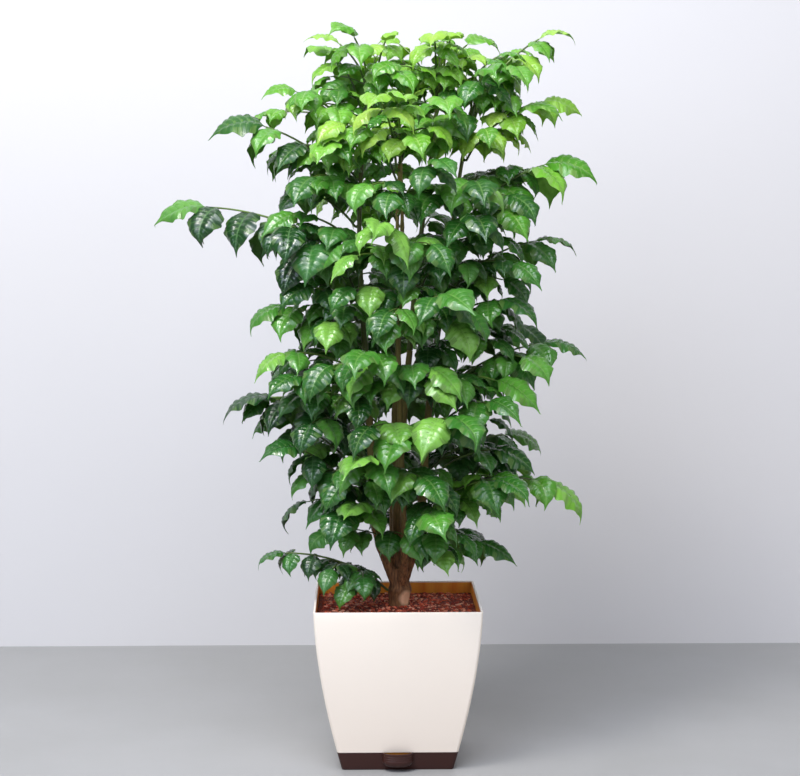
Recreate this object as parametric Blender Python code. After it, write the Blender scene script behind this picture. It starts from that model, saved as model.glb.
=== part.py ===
# Potted china doll plant: a square tapered planter on its own tray, soil, woody stems
# and compound fronds whose leaflets hang from opposite pairs.
# Metres, +Z up, front towards -Y. The origin is on the floor, under the middle of the tray.

import math
import random

import bmesh
import bpy
from mathutils import Vector
from mathutils.bvhtree import BVHTree

# Driving dimensions of the planter
POT_HEIGHT = 0.198
RIM_HALF = 0.100
BASE_HALF = 0.067
TAPER_POWER = 1.6
TRAY_HEIGHT = 0.0225
TRAY_BEVEL = 0.0012
WALL = 0.0025
FLOOR = 0.0030
CORNER = 0.0040
RIM_ROUND = 0.0007
FOOT_DEPTH = 0.0060
FOOT_PLAY = 0.0006
GAP = 0.0003
DRAIN_RADIUS = 0.0040
DRAIN_SPREAD = 0.032
DRAINS = 4
DRAIN_SIDES = 12
PAST = 0.010
SIDE_STEPS = 7
STEP_LIFT = 0.0005
SEAT = TRAY_HEIGHT + GAP
FOOT_LOW = SEAT - FOOT_DEPTH
INNER_LOW = FOOT_LOW + FLOOR

# The pour lip in the middle of the tray's front
LIP_HALF = 0.0185
LIP_REACH = 0.0105
LIP_DEPTH = 0.0160
LIP_WALL = 0.0018
LIP_ROOT = 0.0040
LIP_ARC = 14
# Height above the cup's bottom and share of its full width
LIP_ROUNDING = ((0.0, 0.70), (0.0022, 0.90), (0.0060, 1.0))

# Soil
SOIL_LEVEL = 0.1830
SOIL_HEAP = 0.0050
SOIL_HEAP_RADIUS = 0.045
SOIL_ROUGH = 0.0014
SOIL_RINGS = 6
SOIL_ROUNDING = 0.35
SOIL_INWARD = 0.92

# Stems
TRUNK_FOOT = 0.1500
TRUNK_COLLAR = 0.1960
TRUNK_RADIUS = 0.0130
TRUNK_SIDES = 8
LIMB_SIDES = 7
SHOOT_SIDES = 6
LIMB_TOP = 0.500
SHOOTS = ("a", "b", "c")

# Leaflets: lengths in metres, shares of a leaflet's length or half width, angles in degrees
BLADE = 0.0007
BLADE_WIDTH = 0.64
BLADE_WAVE = 0.030
MID_SHARE = 0.35
NECK_SHARE = 0.70
NECK_WIDTH = 0.62
LEAF_STEPS = 20
LOWEST_PITCH = -100
BEND_POWER = 0.8
FIRST_ROLL = 0.4
TIP_BEND = (0.5, -58)
ROOT_SHARE = 0.05
OWN_SHARE = 0.15
LEAN = 24
LIGHT_SIDE = Vector((0, -1, 0))
CLEAR = 0.0005
CLEARINGS = 10
SHORTER = 0.96
SWING = 0.16
SPREADS = {
    "length": (0.88, 1.14),
    "width": (0.88, 1.12),
    "start": (-8, 8),
    "end": (-14, 14),
    "roll": (-24, 24),
    "fold": (-0.10, 0.18),
    "sweep": (24, 56),
    "reach": (0.85, 1.10),
}

# Fronds: where leaflets and side stalks leave the rachis, in leaflet lengths
FIRST_SPACE = 0.22
SINGLE_SPACE = 0.62
PINNA_ROOM = 0.35
PINNA_NODE = 0.58
PINNA_SPREAD = 58
PINNA_LIFT = 0.30
PINNA_TIP = 0.92
PINNA_SIDE = 0.84
TIP_SIZE = 1.12
STALK_BASE = 0.0016
STALK_END = 0.0010
STALK_BARE = 0.024
PINNA_RADIUS = 0.0009
NODE_HALF = 0.0009
NODE_APART = 0.0040
SPINE_STEPS = 4
TUCK = 0.0040
LEAD_SHARE = 0.36
TRAIL_SHARE = 0.34

# Stem axes from the trunk upwards, in mm, with the radius at each point
STEMS = {
    "trunk": (
        (3, 2, 150, 13.0), (3, 2, 196, 13.0), (4, 2, 208, 12.5), (3, 2, 222, 12.0), (2, 2, 234, 11.0),
    ),
    "a": (
        (0, 1, 216, 8.5), (-12, -2, 244, 7.0), (-22, -6, 272, 6.0), (-29, -9, 310, 5.2), (-31, -10, 360, 4.6),
        (-33, -9, 420, 4.2), (-38, -7, 500, 3.7), (-43, -5, 575, 3.2), (-45, -2, 645, 2.8), (-43, 1, 710, 2.4),
        (-36, 3, 765, 2.0), (-28, 3, 815, 1.6),
    ),
    "b": (
        (3, 3, 222, 8.0), (2, 4, 256, 6.6), (0, 5, 300, 5.6), (3, 6, 350, 5.0), (9, 6, 420, 4.4), (16, 4, 500, 3.8),
        (23, 2, 580, 3.2), (32, 0, 660, 2.8), (42, -3, 740, 2.3), (52, -5, 830, 1.7),
    ),
    "c": (
        (6, 2, 216, 8.5), (15, -2, 240, 7.0), (24, -6, 268, 6.0), (30, -9, 310, 5.3), (34, -10, 370, 4.7),
        (39, -8, 430, 4.2), (47, -5, 500, 3.7), (56, -2, 570, 3.2), (66, 0, 640, 2.8), (76, 2, 710, 2.3),
        (90, 2, 792, 1.7),
    ),
    "d": (
        (3, 7, 222, 7.0), (0, 18, 250, 6.0), (-3, 29, 285, 5.2), (-4, 37, 335, 4.6), (-2, 44, 400, 4.1),
        (3, 50, 500, 3.4), (7, 56, 590, 2.8), (8, 60, 680, 2.3), (4, 62, 770, 1.7),
    ),
    "e": (
        (6, -3, 212, 6.0), (8, -16, 232, 5.2), (9, -29, 262, 4.6), (8, -38, 305, 4.2), (5, -44, 360, 3.9),
        (3, -48, 430, 3.5), (1, -52, 500, 3.1), (-1, -55, 580, 2.6), (0, -57, 665, 2.0), (3, -58, 740, 1.6),
    ),
}

# How leaflets of each age hang: start and end pitch in degrees, and the stalk's arch
AGES = {
    "young": {"start": 8, "end": -70, "arch": 0.40},
    "fresh": {"start": 4, "end": -72, "arch": 0.40},
    "mature": {"start": -4, "end": -80, "arch": 0.38},
    "old": {"start": -8, "end": -86, "arch": 0.36},
}
COLOURS = {
    "young": (0.36, 0.50, 0.13),
    "fresh": (0.17, 0.37, 0.06),
    "mature": (0.07, 0.24, 0.04),
    "old": (0.03, 0.13, 0.03),
}

# Each frond: stem, height on it, end of the rachis (x, y, z), leaflet length, all in mm,
# then the leaflets at each side of every pair from the tip inwards, and its age
FRONDS = (
    # Left side, from the pot up
    ("trunk", 206, (-134, -24, 256), 42, "1133", "old"),
    ("a", 262, (-42, -74, 320), 52, "13", "mature"),
    ("a", 296, (-112, -52, 384), 62, "113", "old"),
    ("a", 332, (-124, 26, 408), 64, "113", "mature"),
    ("a", 386, (-146, -14, 442), 66, "1113", "old"),
    ("a", 430, (-112, -70, 474), 58, "13", "mature"),
    ("a", 466, (-90, 66, 512), 54, "113", "mature"),
    ("a", 508, (-130, -24, 554), 54, "1113", "mature"),
    ("a", 556, (-78, 78, 614), 52, "113", "mature"),
    ("a", 600, (-228, -4, 673), 64, "11113", "old"),
    ("a", 684, (-156, -18, 768), 62, "1113", "mature"),
    ("a", 716, (-76, -84, 744), 46, "13", "fresh"),
    ("a", 738, (-118, -30, 808), 48, "113", "fresh"),
    ("a", 764, (-72, 34, 853), 50, "113", "fresh"),
    ("a", 796, (-50, -26, 872), 54, "113", "fresh"),
    # Right side, from the pot up
    ("c", 252, (96, -26, 270), 50, "113", "mature"),
    ("c", 262, (82, 58, 270), 46, "13", "old"),
    ("c", 300, (114, -84, 352), 54, "13", "mature"),
    ("c", 322, (178, -10, 340), 60, "1113", "fresh"),
    ("c", 356, (134, 40, 392), 58, "113", "old"),
    ("c", 398, (104, -80, 444), 58, "13", "mature"),
    ("c", 438, (176, 4, 508), 58, "1113", "mature"),
    ("c", 458, (116, -54, 468), 62, "13", "mature"),
    ("c", 500, (158, 62, 524), 52, "113", "mature"),
    ("c", 530, (118, -48, 562), 56, "13", "mature"),
    ("c", 566, (168, 20, 632), 58, "113", "mature"),
    ("c", 594, (134, -64, 606), 52, "13", "mature"),
    ("c", 618, (86, -100, 660), 58, "13", "mature"),
    ("c", 636, (175, -16, 723), 70, "113", "fresh"),
    ("c", 668, (88, -104, 702), 58, "13", "mature"),
    ("c", 700, (158, 46, 714), 50, "113", "mature"),
    ("c", 730, (142, -26, 783), 52, "113", "young"),
    ("c", 756, (100, -52, 826), 54, "13", "mature"),
    ("c", 776, (171, 4, 874), 48, "113", "fresh"),
    # Front
    ("e", 268, (34, -122, 318), 56, "13", "mature"),
    ("e", 330, (-36, -126, 382), 62, "113", "mature"),
    ("e", 392, (58, -132, 430), 64, "113", "mature"),
    ("e", 456, (-34, -146, 506), 62, "113", "mature"),
    ("e", 520, (48, -140, 572), 60, "113", "mature"),
    ("e", 596, (-18, -148, 652), 60, "113", "mature"),
    ("e", 664, (38, -130, 722), 58, "113", "mature"),
    ("e", 716, (-18, -116, 790), 54, "113", "young"),
    ("b", 726, (50, -92, 792), 52, "113", "young"),
    # Back
    ("d", 276, (30, 134, 312), 54, "13", "old"),
    ("d", 350, (-58, 150, 398), 58, "113", "old"),
    ("d", 420, (62, 158, 462), 60, "113", "mature"),
    ("d", 490, (-48, 168, 540), 58, "113", "mature"),
    ("d", 570, (56, 164, 612), 58, "113", "mature"),
    ("d", 650, (-44, 156, 700), 54, "113", "fresh"),
    ("d", 732, (38, 138, 782), 50, "113", "fresh"),
    # Top
    ("b", 802, (44, -50, 866), 50, "1113", "young"),
    ("b", 816, (85, 18, 868), 49, "1113", "young"),
    ("b", 770, (2, 52, 858), 50, "113", "fresh"),
)

# What a leaflet does when its place is taken: turn sideways, lift, both in degrees, and length
TRIES = (
    (0, 0, 1.0), (14, 6, 1.0), (-14, -6, 1.0), (0, 22, 1.0), (26, -10, 0.95), (-26, 10, 0.95),
    (0, -24, 0.95), (38, 18, 0.9), (-38, -16, 0.9), (12, 40, 0.85), (-12, 34, 0.8), (20, -30, 0.75),
)
BOWS = (0.0, 0.06, -0.06, 0.12, -0.12, 0.18, -0.18, 0.26, -0.26)


def clear_scene():
    for item in list(bpy.data.objects):
        bpy.data.objects.remove(item, do_unlink=True)


def material(name, colour, roughness, metallic=0.0):
    made = bpy.data.materials.new(name)
    made.use_nodes = True
    surface = made.node_tree.nodes["Principled BSDF"]
    surface.inputs["Base Color"].default_value = (*colour, 1.0)
    surface.inputs["Roughness"].default_value = roughness
    surface.inputs["Metallic"].default_value = metallic
    return made


def mesh_object(name, points, faces, finish=None):
    mesh = bpy.data.meshes.new(name)
    mesh.from_pydata([tuple(point) for point in points], [], faces)
    if finish:
        mesh.materials.append(finish)
    made = bpy.data.objects.new(name, mesh)
    bpy.context.scene.collection.objects.link(made)
    return made


def joined(name, base, others, operation="UNION"):
    """The base object with one Boolean of all the others, applied, and the others removed."""
    group = bpy.data.collections.new(name + "_others")
    bpy.context.scene.collection.children.link(group)
    for other in others:
        bpy.context.scene.collection.objects.unlink(other)
        group.objects.link(other)
    cut = base.modifiers.new("join", "BOOLEAN")
    cut.operand_type = "COLLECTION"
    cut.collection = group
    cut.operation = operation
    graph = bpy.context.evaluated_depsgraph_get()
    mesh = bpy.data.meshes.new_from_object(base.evaluated_get(graph))
    base.modifiers.clear()
    base.data = mesh
    mesh.name = name
    base.name = name
    for other in others:
        bpy.data.objects.remove(other, do_unlink=True)
    bpy.data.collections.remove(group)
    return base


# Planter


def outer_half(z):
    """Half of the planter's width at a height: nearly upright at the rim, tapering faster below."""
    return RIM_HALF - (RIM_HALF - BASE_HALF) * ((POT_HEIGHT - z) / POT_HEIGHT) ** TAPER_POWER


def square_loop(half, corner, z, steps=2):
    """A square with rounded corners, anticlockwise from above."""
    points = []
    for quarter in range(4):
        sx, sy = ((1, 1), (-1, 1), (-1, -1), (1, -1))[quarter]
        centre = Vector((sx * (half - corner), sy * (half - corner), z))
        for step in range(steps + 1):
            angle = math.radians(90 * (quarter + step / steps))
            points.append(centre + Vector((math.cos(angle), math.sin(angle), 0)) * corner)
    return points


def lofted(name, loops, finish):
    """A closed solid through equal loops in order, the first and the last one capped."""
    count = len(loops[0])
    points = [point for loop in loops for point in loop]
    faces = [tuple(reversed(range(count)))]
    for row in range(len(loops) - 1):
        for i in range(count):
            j = (i + 1) % count
            low, high = row * count, (row + 1) * count
            faces.append((low + i, low + j, high + j, high + i))
    last = (len(loops) - 1) * count
    faces.append(tuple(last + i for i in range(count)))
    return mesh_object(name, points, faces, finish)


def prism(name, x, y, low, high, radius, sides):
    """An upright round prism."""
    loops = []
    for z in (low, high):
        angles = [2 * math.pi * i / sides for i in range(sides)]
        loops.append([Vector((x + radius * math.cos(a), y + radius * math.sin(a), z)) for a in angles])
    return lofted(name, loops, None)


# The foot fits inside the tray's wall
FOOT_HALF = outer_half(FOOT_LOW) - WALL - FOOT_PLAY


def inner_profile(top, steps):
    """(height, half width) inside the shell, from the floor up. The foot steps in by a wall."""
    foot_inner = FOOT_HALF - WALL
    step_low = SEAT + STEP_LIFT
    step_high = step_low + WALL
    profile = [(INNER_LOW, foot_inner), (step_low, foot_inner)]
    for i in range(steps + 1):
        z = step_high + (top - step_high) * i / steps
        profile.append((z, outer_half(z) - WALL))
    return profile


def build_pot():
    """The shell stands on the tray's edge, and its foot steps in to sit inside the tray."""
    loops = [square_loop(FOOT_HALF, CORNER, FOOT_LOW), square_loop(FOOT_HALF, CORNER, SEAT)]
    for i in range(SIDE_STEPS):
        z = SEAT + (POT_HEIGHT - SEAT) * i / SIDE_STEPS
        loops.append(square_loop(outer_half(z), CORNER, z))
    inner_corner = CORNER - WALL
    loops.append(square_loop(RIM_HALF, CORNER, POT_HEIGHT - RIM_ROUND))
    loops.append(square_loop(RIM_HALF - RIM_ROUND, CORNER - RIM_ROUND, POT_HEIGHT))
    loops.append(square_loop(RIM_HALF - WALL + RIM_ROUND, inner_corner + RIM_ROUND, POT_HEIGHT))
    for z, half in reversed(inner_profile(POT_HEIGHT - RIM_ROUND, SIDE_STEPS)):
        loops.append(square_loop(half, inner_corner, z))
    pot = lofted("pot", loops, material("cream plastic", (0.87, 0.82, 0.74), 0.35))
    holes = []
    for i in range(DRAINS):
        angle = 2 * math.pi * (i + 0.5) / DRAINS
        x, y = DRAIN_SPREAD * math.cos(angle), DRAIN_SPREAD * math.sin(angle)
        holes.append(prism(f"drain_{i}", x, y, FOOT_LOW - PAST, INNER_LOW + PAST, DRAIN_RADIUS, DRAIN_SIDES))
    return joined("pot", pot, holes, "DIFFERENCE")


def build_tray():
    """A shallow dish that carries on the planter's taper, with a pour lip in front."""
    loops = [square_loop(outer_half(0) - TRAY_BEVEL, CORNER, 0)]
    loops += [square_loop(outer_half(z), CORNER, z) for z in (TRAY_BEVEL, TRAY_HEIGHT / 2, TRAY_HEIGHT)]
    loops += [square_loop(outer_half(z) - WALL, CORNER - WALL, z) for z in (TRAY_HEIGHT, TRAY_HEIGHT / 2)]
    loops.append(square_loop(outer_half(FLOOR) - WALL, CORNER - WALL, FLOOR))
    brown = material("brown plastic", (0.055, 0.030, 0.028), 0.38)
    tray = lofted("tray", loops, brown)
    front = -outer_half(TRAY_HEIGHT)
    low = TRAY_HEIGHT - LIP_DEPTH
    lip = lip_cup("lip", front, low, TRAY_HEIGHT, LIP_HALF, LIP_REACH, LIP_ROOT)
    tray = joined("tray", tray, [lip])
    hollow = lip_cup(
        "lip_hollow", front, low + LIP_WALL, TRAY_HEIGHT + PAST,
        LIP_HALF - LIP_WALL, LIP_REACH - LIP_WALL, 2 * WALL,
    )
    return joined("tray", tray, [hollow], "DIFFERENCE")


def lip_cup(name, front, low, high, half, reach, inward):
    """Half a cup against the tray's front face, rounded below, that runs inward past the wall."""
    loops = []
    for z, scale in [(low + up, share) for up, share in LIP_ROUNDING] + [(high, 1.0)]:
        arc = [math.pi * (1 + i / LIP_ARC) for i in range(LIP_ARC + 1)]
        outline = [Vector((half * scale * math.cos(a), front + reach * scale * math.sin(a), z)) for a in arc]
        outline.append(Vector((half * scale, front + inward, z)))
        outline.append(Vector((-half * scale, front + inward, z)))
        loops.append(outline)
    return lofted(name, loops, None)


def soil_height(x, y, wobble):
    """Crumbly ground, slightly heaped round the trunk."""
    radius = math.hypot(x, y)
    heap = SOIL_HEAP * math.exp(-((radius / SOIL_HEAP_RADIUS) ** 2))
    return SOIL_LEVEL + heap + SOIL_ROUGH * wobble


def build_soil():
    rnd = random.Random(7)
    profile = inner_profile(SOIL_LEVEL, SIDE_STEPS - 1)
    loops = [square_loop(half - GAP, CORNER - WALL, z) for z, half in profile]
    loops[0] = [point + Vector((0, 0, GAP)) for point in loops[0]]
    edge = profile[-1][1] - GAP
    for ring in range(1, SOIL_RINGS + 1):
        half = edge * (1 - SOIL_INWARD * ring / SOIL_RINGS)
        loop = square_loop(half, half * SOIL_ROUNDING, 0)
        loops.append([Vector((p.x, p.y, soil_height(p.x, p.y, rnd.uniform(-1, 1)))) for p in loop])
    soil = lofted("soil", loops, material("potting mix", (0.13, 0.06, 0.04), 0.95))
    x, y = STEMS["trunk"][0][0] / 1000, STEMS["trunk"][0][1] / 1000
    radius = TRUNK_RADIUS + 2 * GAP
    hole = prism("hole", x, y, TRUNK_FOOT - GAP, TRUNK_COLLAR + PAST, radius, TRUNK_SIDES)
    return joined("soil", soil, [hole], "DIFFERENCE")


# Curves and tubes


def tube_data(path, radii, sides, first_normal=None):
    """Points and faces of a closed tube. Its rings keep the same turn along the path."""
    forward = first_normal or (path[1] - path[0]).normalized()
    side = forward.orthogonal().normalized()
    points = []
    for i, centre in enumerate(path):
        before, after = path[max(i - 1, 0)], path[min(i + 1, len(path) - 1)]
        tangent = (after - before).normalized()
        if i == 0 and first_normal:
            tangent = first_normal
        side = (side - tangent * side.dot(tangent)).normalized()
        across = tangent.cross(side)
        for k in range(sides):
            angle = 2 * math.pi * k / sides
            points.append(centre + (side * math.cos(angle) + across * math.sin(angle)) * radii[i])
    faces = [tuple(reversed(range(sides)))]
    for row in range(len(path) - 1):
        for k in range(sides):
            low, high = row * sides, (row + 1) * sides
            j = (k + 1) % sides
            faces.append((low + k, low + j, high + j, high + k))
    last = (len(path) - 1) * sides
    faces.append(tuple(last + k for k in range(sides)))
    return points, faces


def stem_points(name):
    return [Vector(row[:3]) / 1000 for row in STEMS[name]]


def stem_at(name, height):
    """The stem's axis and radius at a height."""
    rows = STEMS[name]
    z = height * 1000
    for low, high in zip(rows, rows[1:]):
        if z <= high[2]:
            break
    share = (z - low[2]) / (high[2] - low[2])
    mixed = [a + (b - a) * share for a, b in zip(low, high)]
    return Vector(mixed[:3]) / 1000, mixed[3] / 1000


# Space already taken


class Space:
    """What already stands, so that nothing new crosses it."""

    def __init__(self):
        self.owners = []
        self.trees = []
        self.boxes = []

    def add(self, owner, points, faces):
        self.owners.append(owner)
        self.trees.append(BVHTree.FromPolygons(points, faces))
        self.boxes.append(box_of(points))

    def free(self, points, faces, own=None, skip=None):
        """Whether the mesh crosses nothing: only what own holds, or everything but what skip holds."""
        low, high = box_of(points)
        tree = None
        for owner, other, (other_low, other_high) in zip(self.owners, self.trees, self.boxes):
            if (own and owner != own) or (skip and owner == skip):
                continue
            if any(low[k] > other_high[k] or high[k] < other_low[k] for k in range(3)):
                continue
            tree = tree or BVHTree.FromPolygons(points, faces)
            if tree.overlap(other):
                return False
        return True


def box_of(points):
    return (
        [min(point[k] for point in points) for k in range(3)],
        [max(point[k] for point in points) for k in range(3)],
    )


# Leaflets


def leaf_stations(leaf, shares):
    """(point, forward, side, normal) along the midrib, which bends down from its start pitch to its end."""
    up = Vector((0, 0, 1))
    across = leaf["heading"].cross(up).normalized()
    point = leaf["root"].copy()
    spots = []
    for step in range(LEAF_STEPS + 1):
        share = step / LEAF_STEPS
        pitch = math.radians(leaf["start"] + (leaf["end"] - leaf["start"]) * share**BEND_POWER)
        forward = leaf["heading"] * math.cos(pitch) + up * math.sin(pitch)
        if any(abs(share - wanted) < 0.5 / LEAF_STEPS for wanted in shares):
            roll = math.radians(leaf["roll"]) * (FIRST_ROLL + (1 - FIRST_ROLL) * share)
            side = across * math.cos(roll) + across.cross(forward) * math.sin(roll)
            spots.append((point.copy(), forward, side, side.cross(forward)))
        point += forward * leaf["length"] / LEAF_STEPS
    return spots


def blade_rims(leaf, extra=0.0):
    """The upper and lower points of one ovate, pointed leaflet past its root: right side, tip, left side, middle."""
    mid, neck, tip = leaf_stations(leaf, (MID_SHARE, NECK_SHARE, 1.0))
    half = leaf["length"] * leaf["width"] / 2 + extra
    neck_half = half * NECK_WIDTH
    lifts = [shift * leaf["length"] * BLADE_WAVE for shift in leaf["wave"]]
    fold = half * leaf["fold"]
    places = (
        (mid, half, 0, fold + lifts[0]),
        (neck, neck_half, 0, fold * NECK_WIDTH + lifts[1]),
        (tip, 0, extra, 0),
        (neck, -neck_half, 0, fold * NECK_WIDTH + lifts[2]),
        (mid, -half, 0, fold + lifts[3]),
        (mid, 0, 0, 0),
    )
    upper, lower = [], []
    for (point, forward, side, normal), sideways, onward, lift in places:
        spot = point + side * sideways + forward * onward + normal * lift
        upper.append(spot + normal * (BLADE / 2 + extra))
        lower.append(spot - normal * (BLADE / 2 + extra))
    return upper, lower


def blade_faces(upper, lower):
    """Faces of a blade whose rims both run from the left root to the right one and on round the outline."""
    centre_up, centre_down = upper[-1], lower[-1]
    faces = []
    count = len(upper) - 1
    for i in range(count):
        j = (i + 1) % count
        faces.append((centre_up, upper[i], upper[j]))
        faces.append((centre_down, lower[j], lower[i]))
        if i:
            faces += [(lower[i], lower[j], upper[j]), (lower[i], upper[j], upper[i])]
    return [face for face in faces if len(set(face)) == 3]


def blade_test(leaf, share):
    """A slightly swollen leaflet from a share of its length on, to try whether it crosses anything."""
    base = leaf_stations(leaf, (share,))[0]
    point, _, side, normal = base
    half = STALK_END + share * leaf["length"] * leaf["width"]
    upper, lower = blade_rims(leaf, CLEAR)
    thick = normal * (BLADE / 2 + CLEAR)
    points = [point - side * half + thick, point + side * half + thick, *upper]
    points += [point - side * half - thick, point + side * half - thick, *lower]
    faces = blade_faces(list(range(8)), list(range(8, 16)))
    return points, faces + [(8, 9, 1), (8, 1, 0)]


def hang(space, owner, leaf):
    """Places the leaflet in free space, turned, lifted or shortened a little if it has to be."""
    for turn, lift, scale in TRIES:
        tried = dict(leaf)
        tried["heading"] = turned(leaf["heading"], turn)
        tried["start"] = leaf["start"] + lift * 0.4
        tried["end"] = max(leaf["end"] + lift, LOWEST_PITCH)
        tried["length"] = leaf["length"] * scale
        whole = blade_test(tried, ROOT_SHARE)
        if space.free(*whole, skip=owner) and space.free(*blade_test(tried, OWN_SHARE), own=owner):
            space.add(owner, *whole)
            return tried
    return None


def turned(heading, degrees):
    angle = math.radians(degrees)
    return Vector((
        heading.x * math.cos(angle) - heading.y * math.sin(angle),
        heading.x * math.sin(angle) + heading.y * math.cos(angle),
        0,
    ))


# Fronds


class Sprout:
    """The mesh of one frond, grown from its foot: stalks are three-sided, and leaflets rise from their sides."""

    def __init__(self):
        self.points = []
        self.faces = []
        self.grown = []
        self.pinna = None

    def close(self, faces, leaf=None):
        """Adds triangles and quads, which are cut along their shorter diagonal, and notes whose they are."""
        for face in faces:
            if len(face) == 4:
                a, b, c, d = face
                long_way = (self.points[a] - self.points[c]).length > (self.points[b] - self.points[d]).length
                halves = [(b, c, d), (b, d, a)] if long_way else [(a, b, c), (a, c, d)]
            else:
                halves = [face]
            self.faces += halves
            self.grown += [leaf or self.pinna] * len(halves)

    def add(self, spots):
        first = len(self.points)
        self.points += spots
        return list(range(first, len(self.points)))

    def ring(self, centre, forward, radius, fallback):
        """Left, right and keel corners of the stalk round a point."""
        side = flat_part(forward, fallback).cross(Vector((0, 0, 1)))
        up = side.cross(forward).normalized()
        return self.add([
            centre - side * radius + up * radius * 0.5,
            centre + side * radius + up * radius * 0.5,
            centre - up * radius,
        ])

    def walls(self, low, high, open_left=False, open_right=False):
        """Faces between two rings. A side is left open where a leaflet or a side stalk takes its place."""
        left, right, keel = low
        far_left, far_right, far_keel = high
        self.close([(left, right, far_right, far_left)])
        if not open_right:
            self.close([(right, keel, far_keel, far_right)])
        if not open_left:
            self.close([(keel, left, far_left, far_keel)])

    def blade(self, root, leaf):
        """A leaflet out of four corners: upper left, upper right, lower right, lower left."""
        upper, lower = blade_rims(leaf)
        first = self.add(upper)
        second = self.add(lower)
        self.close(blade_faces([root[0], root[1], *first], [root[3], root[2], *second]), leaf)

    def branch(self, root, centre, forward, radius):
        """The first ring of a side stalk out of four corners."""
        left, right, keel = self.ring(centre, forward, radius, forward)
        self.close([
            (root[0], root[1], right, left),
            (root[1], root[2], keel, right),
            (root[3], root[0], left, keel),
            (root[2], root[3], keel),
        ])
        return [left, right, keel]

    def crossed(self):
        """The leaflets, or else the side stalks, whose faces cross another face of the frond."""
        tree = BVHTree.FromPolygons(self.points, self.faces)
        found = {}
        for a, b in tree.overlap(tree):
            if a < b and not set(self.faces[a]) & set(self.faces[b]):
                sides = [grown for grown in (self.grown[b], self.grown[a]) if grown]
                sides.sort(key=lambda grown: "length" not in grown)
                found.update({id(grown): grown for grown in sides[:1]})
        return found.values()


def side_roots(low, high):
    """The corners that a leaflet takes at the right and at the left of a stalk, between two rings."""
    right = (high[1], low[1], low[2], high[2])
    left = (low[0], high[0], high[2], low[2])
    return right, left


def bezier(a, b, c, d, t):
    return a * (1 - t) ** 3 + b * 3 * t * (1 - t) ** 2 + c * 3 * t**2 * (1 - t) + d * t**3


def foot_of(stem_tree, axis, radius, out):
    """Where a stalk starts: just off the stem's surface, with the surface's own direction."""
    hit, normal, _, _ = stem_tree.ray_cast(axis + out * radius * 3, -out)
    return hit + normal * GAP, normal


def spine_of(foot, normal, end, arch, bow):
    """The rachis: straight off the stem, then an arch to its end, bowed a little to one side."""
    start = foot + normal * TUCK
    flat = Vector((end.x - start.x, end.y - start.y, 0))
    out = flat.normalized()
    span = (end - start).length
    slope = math.atan2(end.z - start.z, flat.length)
    sideways = out.cross(Vector((0, 0, 1))) * bow * span
    lead = start + pitched(out, slope + arch) * span * LEAD_SHARE + sideways
    trail = end - pitched(out, slope - arch) * span * TRAIL_SHARE + sideways
    return [foot] + [bezier(start, lead, trail, end, i / SPINE_STEPS) for i in range(SPINE_STEPS + 1)]


def pitched(heading, angle):
    return heading * math.cos(angle) + Vector((0, 0, 1)) * math.sin(angle)


def along(path, back):
    """(point, direction) at a distance back from the path's end."""
    for i in range(len(path) - 1, 0, -1):
        piece = path[i] - path[i - 1]
        if back <= piece.length or i == 1:
            return path[i] - piece.normalized() * back, piece.normalized()
        back -= piece.length
    return path[0], (path[1] - path[0]).normalized()


def path_length(path):
    return sum((b - a).length for a, b in zip(path, path[1:]))


def stalk_test(path, radius, extra):
    return tube_data(path, [radius + extra] * len(path), 3)


def leaf_at(rnd, root, heading, length, start, end, away):
    """A leaflet with its own small differences. Its face leans towards the light in front."""
    heading = heading.normalized()
    lean = -LEAN * heading.cross(Vector((0, 0, 1))).dot(LIGHT_SIDE)
    return {
        "root": root,
        "heading": heading,
        "away": away,
        "length": length * rnd.uniform(*SPREADS["length"]),
        "width": BLADE_WIDTH * rnd.uniform(*SPREADS["width"]),
        "start": start + rnd.uniform(*SPREADS["start"]),
        "end": end + rnd.uniform(*SPREADS["end"]),
        "roll": lean + rnd.uniform(*SPREADS["roll"]),
        "fold": rnd.uniform(*SPREADS["fold"]),
        "wave": [rnd.uniform(-1, 1) for _ in range(4)],
    }


def flat_part(direction, fallback):
    flat = Vector((direction.x, direction.y, 0))
    return flat.normalized() if flat.length > 0.15 else Vector((fallback.x, fallback.y, 0)).normalized()


def frond_spine(name, row, stem_trees, space):
    """The rachis of one frond, laid where it crosses nothing."""
    stem, height, end, _, _, age = row
    end = Vector(end) / 1000
    axis, radius = stem_at(stem, height / 1000)
    out = Vector((end.x - axis.x, end.y - axis.y, 0)).normalized()
    foot, normal = foot_of(stem_trees[stem], axis, radius, out)
    for bow in BOWS:
        path = spine_of(foot, normal, end, AGES[age]["arch"], bow)
        solid = stalk_test(path, STALK_BASE, 0)
        around = stalk_test(path[1:], STALK_BASE, CLEAR)
        if space.free(*solid, skip=name) and space.free(*around, skip=name):
            space.add(name, *solid)
            return path, normal, out
    print(f"{name} crosses something: stem {stem} at {height}")
    return None


def frond_nodes(pairs, length, total):
    """(distance back from the tip, leaflets a side) of every pair. Side stalks leave near the stem."""
    singles, pinnae = pairs.count("1"), pairs.count("3")
    nodes = [(length * (FIRST_SPACE + SINGLE_SPACE * i), 1) for i in range(singles)]
    nodes = [node for node in nodes if node[0] < total - STALK_BARE]
    last = nodes[-1][0] if nodes else 0
    room = total - STALK_BARE - last
    if room > length * PINNA_ROOM:
        nodes += [(last + room * (i + 1) / pinnae, 3) for i in range(pinnae)]
    return nodes


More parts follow.
